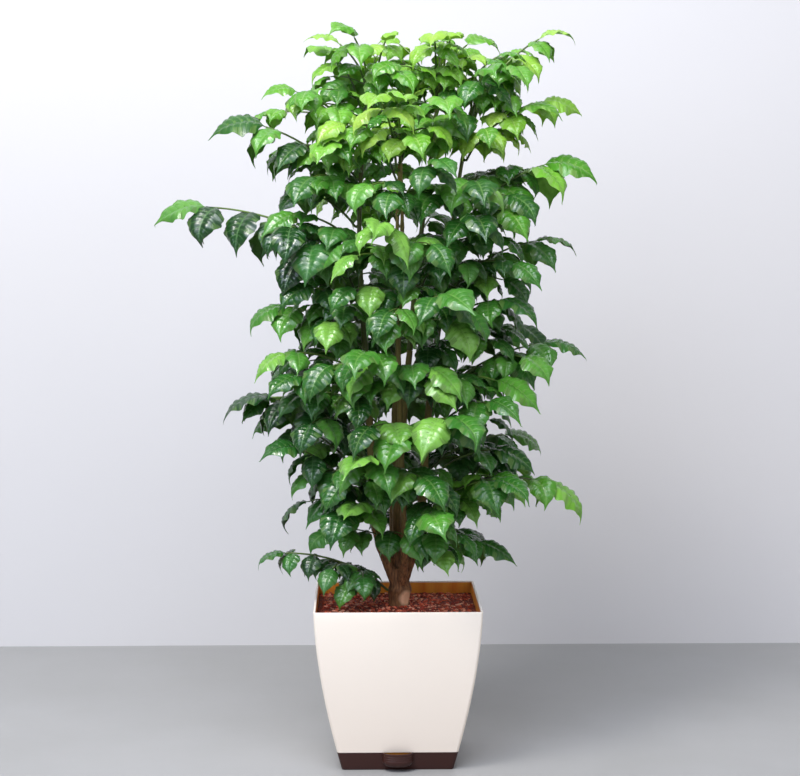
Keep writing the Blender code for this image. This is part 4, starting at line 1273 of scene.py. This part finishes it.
def frondSpine(name, row, stemTrees, space):
    # the rachis of one frond, laid where it crosses nothing
    stem, height, end, _, _, age = row
    end = Vector(end) / 1000
    axis, radius = stemAt(stem, height / 1000)
    out = Vector((end.x - axis.x, end.y - axis.y, 0)).normalized()
    foot, normal = footOf(stemTrees[stem], axis, radius, out)
    for bow in bows:
        path = spineOf(foot, normal, end, agePoses[age]["arch"], bow, growth["spineSteps"])
        solid = stalkTest(path, growth["stalkBase"], 0)
        around = stalkTest(path[1:], growth["stalkBase"], growth["clear"])
        if space.free(*solid, skip=name) and space.free(*around, skip=name):
            space.add(name, *solid)
            fine = spineOf(foot, normal, end, agePoses[age]["arch"], bow, frondLook["spineSteps"])
            return path, normal, out, fine
    return None


def frondNodes(pairs, length, total):
    # (distance back from the tip, leaflets a side) of every pair; side stalks leave near the stem
    singles, pinnae = pairs.count("1"), pairs.count("3")
    nodes = [(length * (growth["firstSpace"] + growth["singleSpace"] * i), 1) for i in range(singles)]
    nodes = [node for node in nodes if node[0] < total - growth["stalkBare"]]
    last = nodes[-1][0] if nodes else 0
    room = total - growth["stalkBare"] - last
    if room > length * growth["pinnaRoom"]:
        nodes += [(last + room * (i + 1) / pinnae, 3) for i in range(pinnae)]
    return nodes


def bothSides(rnd, path, back, out, sweeps):
    # right and left of the rachis: (side, root, heading, straight out, straight on)
    middle, forward = along(path, back)
    flat = flatPart(forward, out)
    for hand in (1, -1):
        aside = flat.cross(upward) * hand
        sweep = math.radians(rnd.uniform(*sweeps))
        heading = aside * math.cos(sweep) + flat * math.sin(sweep)
        yield hand, middle + aside * growth["stalkEnd"], heading, aside, flat


def planFrond(name, row, spine, rnd, space):
    # where every leaflet and side stalk of one frond stands, from the tip inwards
    path, normal, out, fine = spine
    length, pose = row[3] / 1000, agePoses[row[5]]
    total = pathLength(path)
    tip, forward = along(path, 0)
    pitch = math.degrees(math.asin(forward.z))
    tipPose = {"start": pitch, "end": pitch * growth["tipBend"][0] + growth["tipBend"][1]}
    tipLeaf = hang(space, name, leafAt(rnd, tip, flatPart(forward, out), length * growth["tipSize"], tipPose))
    pairs = []
    for back, count in frondNodes(row[4], length, total):
        pair = []
        for hand, root, heading, aside, flat in bothSides(rnd, path, back, out, spreads["sweep"]):
            if count == 1:
                pair.append(hang(space, name, leafAt(rnd, root, heading, length, pose, aside - flat)))
            else:
                pair.append(planPinna(name, root, heading, hand, length, pose, rnd, space))
        pairs.append((back, count, pair))
    return {"path": path, "normal": normal, "out": out, "total": total, "tip": tipLeaf, "pairs": pairs,
            "fine": fine, "extras": [], "extraPinnae": []}


def planPinna(owner, root, heading, hand, length, pose, rnd, space):
    # a side stalk with a leaflet at its tip and one on its outer side, or nothing where it has no room
    reach = length * rnd.uniform(*spreads["reach"])
    start = math.radians(pose["start"])
    middle = root + pitched(heading, start + growth["pinnaLift"]) * reach * growth["pinnaNode"]
    path = [root, middle, middle + pitched(heading, start) * reach * (1 - growth["pinnaNode"])]
    if not space.free(*stalkTest(path, growth["pinnaRadius"], growth["clear"]), skip=owner):
        return None
    space.add(owner, *stalkTest(path, growth["pinnaRadius"], 0))
    tip = leafAt(rnd, path[-1], heading, length * growth["pinnaTip"], pose)
    aside = turned(heading, hand * growth["pinnaSpread"])
    root = middle + aside * growth["pinnaRadius"]
    outer = leafAt(rnd, root, aside, length * growth["pinnaSide"], pose, aside - heading)
    return {
        "path": path,
        "heading": heading,
        "hand": hand,
        "tip": hang(space, owner, tip),
        "outer": hang(space, owner, outer),
    }


def ringMarks(path, pairs):
    # distances back from the tip where the rachis gets a ring, from the stem outwards
    nodes = [back for back, _, _ in pairs]
    marks = []
    back = pathLength(path)
    for a, b in zip(path, path[1:]):
        if all(abs(back - node) > growth["nodeApart"] for node in nodes):
            marks.append((back, None))
        back -= (b - a).length
    marks.append((0.0, None))
    for node, count, grown in pairs:
        marks += [(node + growth["nodeHalf"], None), (node - growth["nodeHalf"], (count, grown))]
    return sorted(marks, key=lambda mark: -mark[0])


def raiseFrond(frond):
    path, out, total = frond["path"], frond["out"], frond["total"]
    sprout = Sprout()
    low = sprout.ring(path[0], frond["normal"], growth["stalkBase"], out)
    sprout.close([(low[0], low[2], low[1])])
    for back, node in ringMarks(path, frond["pairs"])[1:]:
        radius = growth["stalkEnd"] + (growth["stalkBase"] - growth["stalkEnd"]) * back / total
        centre, forward = along(path, back)
        high = sprout.ring(centre, forward, radius, out)
        count, (right, left) = node or (0, (None, None))
        right, left = standing(right), standing(left)
        sprout.walls(low, high, openLeft=bool(left), openRight=bool(right))
        for root, grown in zip(sideRoots(low, high), (right, left)):
            if grown and count == 1:
                sprout.leafBlade(root, grown)
            elif grown:
                raisePinna(sprout, root, grown)
        low = high
    capTip(sprout, low, frond["tip"])
    return sprout


def raiseClear(name, frond, space):
    # swings away every leaflet that crosses its own frond, or drops it where that isn't enough
    for attempt in range(growth["clearings"]):
        crossed = raiseFrond(frond).crossed()
        if not crossed:
            break
        for grown in crossed:
            if "length" in grown and attempt < growth["clearings"] - 2:
                grown["heading"] = (grown["heading"] + grown["away"] * growth["swing"]).normalized()
                grown["length"] *= growth["shorter"]
                grown["dropped"] = not space.free(*bladeTest(grown, growth["rootShare"]), skip=name)
            else:
                grown["dropped"] = True


def raisePinna(sprout, root, pinna):
    sprout.pinna = pinna
    path = pinna["path"]
    forward = (path[1] - path[0]).normalized()
    onward = (path[2] - path[1]).normalized()
    low = sprout.branch(root, path[1] - forward * growth["nodeHalf"], forward, growth["pinnaRadius"])
    high = sprout.ring(path[1] + onward * growth["nodeHalf"], onward, growth["pinnaRadius"], pinna["heading"])
    outer = standing(pinna["outer"])
    onLeft = bool(outer) and pinna["hand"] > 0
    onRight = bool(outer) and pinna["hand"] < 0
    sprout.walls(low, high, openLeft=onLeft, openRight=onRight)
    right, left = sideRoots(low, high)
    if outer:
        sprout.leafBlade(left if onLeft else right, outer)
    last = sprout.ring(path[2], onward, growth["pinnaRadius"], pinna["heading"])
    sprout.walls(high, last)
    capTip(sprout, last, pinna["tip"])
    sprout.pinna = None


def capTip(sprout, ring, leaf):
    left, right, keel = ring
    if standing(leaf):
        sprout.leafBlade((left, right, keel, keel), leaf)
    else:
        sprout.close([(left, right, keel)])


def standing(grown):
    # a leaflet or a side stalk, unless it is a leaflet that was dropped
    return None if grown and grown.get("dropped") else grown


# Leaflets that only this scene adds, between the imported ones


filling = {
    "gapShare": 0.40,               # a gap this long, in leaflet lengths, takes another pair
    "leafyFrom": 0.30,              # share of the rachis that may carry extra side stalks
    "sweep": (5, 45),
    "innerSize": 0.84,
    "nearSize": 0.80,
    "nearShare": 0.45,
    "nearSpread": 62,
    "footRoom": 0.01,
}


def fillFrond(name, row, frond, space):
    rnd = random.Random(name + "x")
    length, pose = row[3] / 1000, agePoses[row[5]]
    path, total, out = frond["path"], frond["total"], frond["out"]
    pinnae = [grown for _, count, pair in frond["pairs"] for grown in pair if grown and count > 1]
    marks = sorted(back for back, _, _ in frond["pairs"]) + [total - filling["footRoom"]]
    for a, b in zip(marks, marks[1:]):
        if b - a > filling["gapShare"] * length and a >= filling["leafyFrom"] * total:
            middle = (a + b) / 2
            for hand, root, heading, _, _ in bothSides(rnd, path, middle, out, filling["sweep"]):
                pinna = planPinna(name, root, heading, hand, length, pose, rnd, space)
                if pinna:
                    pinna["back"] = middle
                    frond["extraPinnae"].append(pinna)
                    pinnae.append(pinna)
    for pinna in pinnae:
        node = pinna["path"][1]
        near = pinna["path"][0].lerp(node, filling["nearShare"])
        spread, size = filling["nearSpread"], length * filling["nearSize"]
        for spot, turn, span in (
            (node, -pinna["hand"] * growth["pinnaSpread"], length * filling["innerSize"]),
            (near, -spread, size),
            (near, spread, size),
        ):
            aside = turned(pinna["heading"], turn)
            leaf = leafAt(rnd, spot + aside * growth["pinnaRadius"], aside, span, pose)
            leaf = hang(space, name, leaf)
            if leaf:
                frond["extras"].append(leaf)


# Fine leaflets


frondLook = {
    "spineSteps": 16,
    "stalkSides": 6,
    "pinnaSides": 5,
    "firstVein": 0.16,              # share of the leaflet where the first lateral vein leaves the midrib
    "veinStep": 0.11,
    "veins": 6,
    "across": (-1.0, -0.60, -0.24, 0.0, 0.24, 0.60, 1.0),
    "slant": 0.12,                  # how far veins run towards the tip on their way to the margin
    "bulge": 0.15,                  # each half swells between midrib and margin, shares of the half width
    "droop": 0.16,                  # and bends down again at the margin
    "quilt": 0.085,
    "ripple": 0.040,
    "ripples": 3.7,
    "scallop": 0.035,               # the margin swells between its veins, shares of the half width
    "curl": 0.07,                   # how far the drip tip hooks back under the leaflet
    "curlFrom": 0.72,
    "uneven": 0.10,                 # leaflets are this much wider or narrower than the mean
    "twist": 26,                    # degrees the blade turns about its midrib on the way to the tip
    "waving": 1.5,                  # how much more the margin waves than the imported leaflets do
    "sway": 0.10,
    "bladeThick": 0.00032,
    "petioleThick": 0.0011,
    "petioleHalf": 0.0007,
    "stalkGreen": "#5E7C2C",
    "stalkOlive": "#3E4A1E",
    "greener": (("b", 726), ("e", 725)),   # young sprays that have already greened, by stem and height
    "scarSwell": 0.25,              # a rachis thickens at its pairs, shares of its radius
    "scarHalf": 0.003,
    "footSwell": 1.35,
    "pinnaTaper": (1.25, 1.0, 1.0, 1.0, 0.95, 0.9),
    # share of the length, share of the half width
    "outline": (
        (0.0, 0.0), (0.05, 0.0), (0.08, 0.28), (0.11, 0.50), (0.16, 0.74), (0.22, 0.90), (0.30, 0.99),
        (0.38, 1.0), (0.46, 0.97), (0.54, 0.90), (0.61, 0.80), (0.67, 0.67), (0.73, 0.50), (0.78, 0.33),
        (0.83, 0.18), (0.88, 0.10), (0.94, 0.05), (1.0, 0.012)),
}

# tones go from the darkest leaflet of an age to its freshest
leafColours = {
    "young": {"tones": ("#4C8C2A", "#76B038", "#98C648", "#B4D65C"), "under": "#9CC468", "vein": "#D2E692",
              "glow": "#C2E850", "share": 0.38, "rough": 0.26, "veinShare": 0.40},
    "fresh": {"tones": ("#327020", "#56982E", "#7CBA3E", "#A2D052"), "under": "#86AC58", "vein": "#B4D47C",
              "glow": "#A8DC3C", "share": 0.33, "rough": 0.22, "veinShare": 0.38},
    "mature": {"tones": ("#1E4A1C", "#357026", "#5A9A36", "#82BA4C"), "under": "#5E8038", "vein": "#94C068",
               "glow": "#84C430", "share": 0.24, "rough": 0.18, "veinShare": 0.36},
    # oldest leaflets: darker for their age, and darker still as painted shade of the low, back and inner
    # fronds
    "old": {"tones": ("#123214", "#20501E", "#38742C", "#5C943A"), "under": "#4E7030", "vein": "#7CAC68",
            "glow": "#68AA2A", "share": 0.17, "rough": 0.16, "veinShare": 0.32},
}


def waxyLeaf(age):
    # living leaf under a smooth wax skin: glossy above, paler and duller below, light shines through it
    look = leafColours[age]
    skin = Skin(f"waxy_leaf_{age}")
    place = skin.split(skin.marked("leafPlace", "Vector"))
    under = skin.math("GREATER_THAN", skin.marked("leafUnder"), 0.02)
    across = skin.math("ABSOLUTE", place["X"])
    lateral = skin.ranged(skin.math("PINGPONG", place["Y"], 0.5), 0.02, 0.10, 1.0, 0.0)
    sideVeins = skin.math("MULTIPLY", lateral, skin.ranged(across, 0.50, 0.95, 0.75, 0.0))
    veins = skin.math("MAXIMUM", sideVeins, skin.ranged(across, 0.02, 0.07, 1.0, 0.0))
    cloud = skin.math("MULTIPLY_ADD", skin.noise(55.0, 3.0), 0.5, -0.25)
    tone = skin.math("ADD", cloud, place["Z"], clamp=True)
    green = skin.ramp(tone, (0.0, 0.42, 0.80, 1.0), look["tones"])
    veined = skin.mix(skin.math("MULTIPLY", veins, look["veinShare"]), green, look["vein"])
    colour = skin.mix(skin.math("MULTIPLY", under, 0.8), veined, look["under"])
    # some leaflets are clean and others a little dusty
    dust = skin.ranged(skin.noise(16.0, 1.0), 0.42, 0.66, 0.0, 0.26)
    rough = skin.math("ADD", dust, skin.math("MULTIPLY_ADD", under, 0.28, look["rough"]))
    # puckers of 10 mm between the veins, and a net of small veins, drawn at 2.5 mm so that it shows
    net = skin.cells(400.0, feature="DISTANCE_TO_EDGE")["Distance"]
    puckers = skin.math("MULTIPLY_ADD", net, 0.4, skin.noise(100.0, 1.0))
    relief = skin.bump(skin.math("SUBTRACT", puckers, skin.math("MULTIPLY", veins, 0.8)), 0.4, 0.0006)
    wax = {"IOR": 1.5, "Coat Weight": 0.40, "Coat Roughness": 0.18}
    skin.dress(colour, rough, {"Normal": relief, **wax})
    light = {"Color": hexLinear(look["glow"]), "Normal": relief}
    return skin.blend(look["share"], addNode(skin.tree, "ShaderNodeBsdfTranslucent", light).outputs[0])


def greenStalk():
    # leaf stalk: smooth skin over pith, mottled green and olive
    skin = Skin("smooth_leaf_stalk")
    mottle = skin.ranged(skin.noise(35.0, 3.0), 0.35, 0.65)
    return skin.dress(skin.mix(mottle, frondLook["stalkGreen"], frondLook["stalkOlive"]), 0.45, {})


def leafTemplate():
    # rows and columns shared by every fine leaflet: shares along it, vein coordinate, faces
    rows = [0.0, 0.03, 0.06, 0.105]
    step = frondLook["veinStep"]
    rows += [frondLook["firstVein"] + step * k / 3 for k in range(3 * (frondLook["veins"] - 1) + 1)]
    rows += [0.775, 0.84, 0.90, 0.955]
    rows = np.array(rows)
    v = np.array(frondLook["across"])
    r, a = np.meshgrid(rows, v, indexing="ij")
    ease = np.minimum(1, r / frondLook["firstVein"]) * np.minimum(1, (1 - r) / 0.3)
    share = r + frondLook["slant"] * abs(a) ** 1.2 * ease
    vein = (r - frondLook["firstVein"]) / step + 1
    last = len(v) - 1
    upper = [[i * (last + 1) + j for j in range(last + 1)] for i in range(len(rows))]
    base = len(rows) * (last + 1)
    lower = []
    for i in range(len(rows)):
        middle = [base + i * (last - 1) + j for j in range(last - 1)]
        lower.append([upper[i][0], *middle, upper[i][last]])
    tip = base + len(rows) * (last - 1)
    faces = [(upper[0][0], *lower[0][1:last], upper[0][last], *reversed(upper[0][1:last]))]
    for i in range(len(rows) - 1):
        for j in range(last):
            faces.append((upper[i][j], upper[i][j + 1], upper[i + 1][j + 1], upper[i + 1][j]))
            faces.append((lower[i + 1][j], lower[i + 1][j + 1], lower[i][j + 1], lower[i][j]))
    for j in range(last):
        faces.append((upper[-1][j], upper[-1][j + 1], tip))
        faces.append((tip, lower[-1][j + 1], lower[-1][j]))
    return share, a, vein, faces


template = leafTemplate()


def fineLeaflet(leaf, shift, tone):
    # points of one leaflet: folded along the midrib, swollen between its veins, rippled at the margin
    share, v, vein, faces = template
    stations = leafStations(leaf)
    grid = np.linspace(0, 1, len(stations))
    tracks = [np.array([tuple(spot[k]) for spot in stations]) for k in (0, 2, 3)]
    spots, sides, normals = [
        np.stack([np.interp(share, grid, track[:, k]) for k in range(3)], -1) for track in tracks
    ]
    turn = math.radians(frondLook["twist"]) * leaf["wave"][3] * share[..., None] ** 1.5
    cosine, sine = np.cos(turn), np.sin(turn)
    sides, normals = sides * cosine + normals * sine, normals * cosine - sides * sine
    length, half = leaf["length"], leaf["length"] * leaf["width"] / 2
    outline = np.interp(share, *zip(*frondLook["outline"]))
    a = abs(v)
    half = half * (1 + frondLook["uneven"] * leaf["wave"][2])
    scallop = 1 - frondLook["scallop"] * np.cos(2 * np.pi * vein) * a ** 2
    width = np.maximum(outline * half * scallop, frondLook["petioleHalf"] * (1 - share * 0.7))
    wave = leaf["wave"]
    lift = [w * length * growth["bladeWave"] * frondLook["waving"] for w in wave]
    marks = (0, 0.10, 0.35, 0.70, 0.92, 1)
    rightWave = np.interp(share, marks, (0, 0, lift[0], lift[1], 0, 0))
    leftWave = np.interp(share, marks, (0, 0, lift[3], lift[2], 0, 0))
    swell = (4 * a * (1 - a)) ** 0.8
    shape = leaf["fold"] * a ** 1.25 + frondLook["bulge"] * swell - frondLook["droop"] * a ** 3
    height = half * outline * shape
    height += half * outline * frondLook["quilt"] * (0.5 - 0.5 * np.cos(2 * np.pi * vein)) * swell ** 0.5
    height += np.where(v > 0, rightWave, leftWave) * a ** 2
    ripple = np.sin(2 * np.pi * (share * frondLook["ripples"] + wave[1] * 3) + v * 1.3)
    height += length * frondLook["ripple"] * ripple * a ** 3 * outline
    curl = length * frondLook["curl"] * (1 + wave[1])
    height -= curl * np.maximum(0, (share - frondLook["curlFrom"]) / (1 - frondLook["curlFrom"])) ** 2
    sway = length * frondLook["sway"] * wave[0] * np.maximum(0, (share - 0.5) / 0.5) ** 2
    middle = spots + sides * (v * width + sway)[..., None] + normals * height[..., None]
    stalk, blade = frondLook["petioleThick"], frondLook["bladeThick"]
    thick = np.interp(share, (0, 0.05, 0.12, 1), (stalk, stalk, blade, blade))
    thick = thick * (1 - a ** 4) / 2
    upper = middle + normals * thick[..., None]
    lower = (middle - normals * thick[..., None])[:, 1:-1]
    point, _, side, normal = stations[-1]
    hook = side * (length * frondLook["sway"] * wave[0]) - normal * curl
    tip = np.array(point + hook)[None]
    points = np.concatenate([upper.reshape(-1, 3), lower.reshape(-1, 3), tip]) + np.array(shift)
    place = np.stack([v, vein, np.full_like(v, tone)], -1)
    tipPlace = np.array([[0.0, (1 - frondLook["firstVein"]) / frondLook["veinStep"] + 1, tone]])
    places = np.concatenate([place.reshape(-1, 3), place[:, 1:-1].reshape(-1, 3), tipPlace])
    unders = np.concatenate([np.zeros(upper.size // 3), np.ones(lower.size // 3), [0]])
    return points, faces, places, unders


def curvedStalk(path):
    # a side stalk's three points on a smooth bend
    a, b, c = path
    lead = b * 2 - (a + c) * 0.5
    return [a * (1 - t) ** 2 + lead * 2 * t * (1 - t) + c * t ** 2 for t in (0, 0.2, 0.4, 0.6, 0.8, 1)]


class PieceBuild:
    # gathers stalks and leaflets into one mesh

    def __init__(self):
        self.points, self.faces, self.places, self.unders, self.kinds = [], [], [], [], []
        self.count = 0

    def gather(self, data, kind):
        spots, walls, place, under = data
        self.points.append(spots)
        self.places.append(place)
        self.unders.append(under)
        self.faces.extend([tuple(i + self.count for i in wall) for wall in walls])
        self.kinds.extend([kind] * len(walls))
        self.count += len(spots)

    def addStalk(self, path, radii, sides):
        spots, walls = tubeData(path, radii, sides)
        spots = np.array([tuple(spot) for spot in spots])
        self.gather((spots, walls, np.zeros_like(spots), np.zeros(len(spots))), 1)

    def finishPiece(self, name, materials, nodes, slot):
        piece = newPiece(name, np.concatenate(self.points), self.faces, materials, nodes, slot, 75)
        piece.data.polygons.foreach_set("material_index", self.kinds)
        marks = piece.data.attributes
        places, unders = np.concatenate(self.places).ravel(), np.concatenate(self.unders)
        marks.new("leafPlace", "FLOAT_VECTOR", "POINT").data.foreach_set("vector", places.astype(np.float32))
        marks.new("leafUnder", "FLOAT", "POINT").data.foreach_set("value", unders.astype(np.float32))


def buildFrond(name, row, frond, leafMaterial, stalkMaterial):
    rnd = random.Random(name + "tone")
    build = PieceBuild()
    path, fine, total = frond["path"], frond["fine"], frond["total"]
    ratio = pathLength(fine) / total

    def shiftAt(back):
        # from the plain rachis to the smooth one
        return along(fine, back * ratio)[0] - along(path, back)[0]

    joints = [back * ratio for back, _, _ in frond["pairs"]]
    radii = []
    remaining = pathLength(fine)
    for i, spot in enumerate(fine):
        if i:
            remaining -= (spot - fine[i - 1]).length
        near = min([abs(remaining - joint) for joint in joints] or [1.0])
        size = growth["stalkEnd"] + (growth["stalkBase"] - growth["stalkEnd"]) * remaining / pathLength(fine)
        radii.append(size * (1 + frondLook["scarSwell"] * math.exp(-((near / frondLook["scarHalf"]) ** 2))))
    radii[0] *= frondLook["footSwell"]
    build.addStalk(fine, radii, frondLook["stalkSides"])
    leaves = [(frond["tip"], Vector())]
    pinnae = [(pinna, shiftAt(pinna["back"])) for pinna in frond["extraPinnae"]]
    for back, count, pair in frond["pairs"]:
        grown = [(each, shiftAt(back)) for each in pair if standing(each)]
        if count > 1:
            pinnae += grown
        else:
            leaves += grown
    for pinna, shift in pinnae:
        bend = [spot + shift for spot in curvedStalk(pinna["path"])]
        sizes = [growth["pinnaRadius"] * share for share in frondLook["pinnaTaper"]]
        build.addStalk(bend, sizes, frondLook["pinnaSides"])
        leaves += [(pinna["tip"], shift), (pinna["outer"], shift)]
    leaves += [(leaf, Vector()) for leaf in frond["extras"]]
    shown = [(leaf, shift) for leaf, shift in leaves if leaf and standing(leaf)]
    for leaf, shift in shown:
        build.gather(fineLeaflet(leaf, shift, rnd.random()), 0)
    nodes = [name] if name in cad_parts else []
    build.finishPiece(f"leafy_{name}", [leafMaterial, stalkMaterial], nodes, f"leaf_{row[5]}")
    return len(shown)


tufts = {
    "stems": ("a", "b", "c", "d", "e"),
    "reach": 0.034,                 # how far the growing tip stands above the stem's end
    "tuck": 0.004,                  # how deep it starts inside the stem
    "axisSteps": 6,
    "taper": 0.08,                  # share of its radius that it loses at each step
    "pairs": 5,
    "pairsFrom": 0.15,              # share of the reach where the lowest pair stands
    "leaf": (0.048, 0.028),         # leaflet length at the lowest and the highest pair
    "stalk": (0.021, 0.007),
    "stalkSpread": (0.8, 1.2),
    "rise": (20, 62),               # pitch of the little stalks, degrees
    "arch": 14,                     # how much steeper they start and flatter they end, degrees
    "headings": (25, 18),           # first heading and its spread, degrees
    "trios": (-32, 0, 32),          # stalks at a node, degrees aside; only the middle one near the top
    "triosBelow": 0.7,
    "trioSpread": 6,
    "stemRadius": 0.0013,
    "stalkRadius": 0.0006,
    "start": 6,
    "end": -78,
    "poseLift": 0.3,                # share of a stalk's pitch that its leaflet starts with
}


def between(limits, share):
    return limits[0] + (limits[1] - limits[0]) * share


def buildTuft(name, space, leafMaterial, stalkMaterial):
    # the growing tip of a stem: crossed pairs of small young leaflets on short stalks
    rnd = random.Random("tuft " + name)
    owner = "tuft_" + name
    top, before = (Vector(row[:3]) / 1000 for row in (stemAxes[name][-1], stemAxes[name][-2]))
    lean = ((top - before).normalized() + upward).normalized()
    steps, tuck, reach = tufts["axisSteps"], tufts["tuck"], tufts["reach"]
    axis = [top - lean * tuck + lean * (reach + tuck) * i / steps for i in range(steps + 1)]
    stalks = [(axis, [tufts["stemRadius"] * (1 - tufts["taper"] * i) for i in range(steps + 1)])]
    leaves = []
    first, spread = tufts["headings"]
    for k in range(tufts["pairs"]):
        share = k / (tufts["pairs"] - 1)
        spot = top + lean * reach * (tufts["pairsFrom"] + (1 - tufts["pairsFrom"]) * share)
        pitch = between(tufts["rise"], share)
        for hand in (0, 180):
            heading = turned(Vector((1, 0, 0)), 90 * k + hand + first + rnd.uniform(-spread, spread))
            for aside in tufts["trios"] if share <= tufts["triosBelow"] else (0,):
                out = turned(heading, aside + rnd.uniform(-tufts["trioSpread"], tufts["trioSpread"]))
                span = between(tufts["stalk"], share) * rnd.uniform(*tufts["stalkSpread"])
                middle = spot + pitched(out, math.radians(pitch + tufts["arch"])) * span * 0.5
                end = middle + pitched(out, math.radians(pitch - tufts["arch"])) * span * 0.5
                pose = {"start": tufts["start"] + pitch * tufts["poseLift"], "end": tufts["end"]}
                leaf = hang(space, owner, leafAt(rnd, end, out, between(tufts["leaf"], share), pose))
                if leaf:
                    leaves.append(leaf)
                    stalks.append(([spot, middle, end], [tufts["stalkRadius"]] * 3))
    build = PieceBuild()
    for path, radii in stalks:
        build.addStalk(path, radii, frondLook["pinnaSides"])
    for leaf in leaves:
        build.gather(fineLeaflet(leaf, Vector(), rnd.random()), 0)
    build.finishPiece(f"growing_tip_{name}", [leafMaterial, stalkMaterial], (), "leaf_young")
    return len(leaves)


def buildFronds(stemTrees, space):
    names = [f"frond_{number:02d}" for number in range(1, len(frondRows) + 1)]
    spines = [frondSpine(name, row, stemTrees, space) for name, row in zip(names, frondRows)]
    fronds = {}

    def grow(name, row, spine):
        fronds[name] = planFrond(name, row, spine, random.Random(name), space)
        raiseClear(name, fronds[name], space)

    for name, row, spine in zip(names, frondRows, spines):
        grow(name, row, spine)
    print(f"planned {len(fronds)} fronds")
    for name, row in zip(names, frondRows):
        fillFrond(name, row, fronds[name], space)
    sprayNames = [f"spray_{stem}{height}" for stem, height, *_ in sprayRows]
    for name, row in zip(sprayNames, sprayRows):
        grow(name, row, frondSpine(name, row, stemTrees, space))
        fillFrond(name, row, fronds[name], space)
    leafMaterials = {age: waxyLeaf(age) for age in leafColours}
    stalk = greenStalk()
    total = 0
    for name, row in zip(names + sprayNames, frondRows + sprayRows):
        age = "fresh" if row[:2] in frondLook["greener"] else row[5]
        total += buildFrond(name, row, fronds[name], leafMaterials[age], stalk)
    for name in tufts["stems"]:
        total += buildTuft(name, space, leafMaterials["young"], stalk)
    print(f"fronds: {len(fronds)} with {total} leaflets")


buildStudio()
buildTray()
buildPot()
soilEdge = buildSoil()
buildChips(soilEdge)
space = Space()
buildFronds(buildStems(space), space)
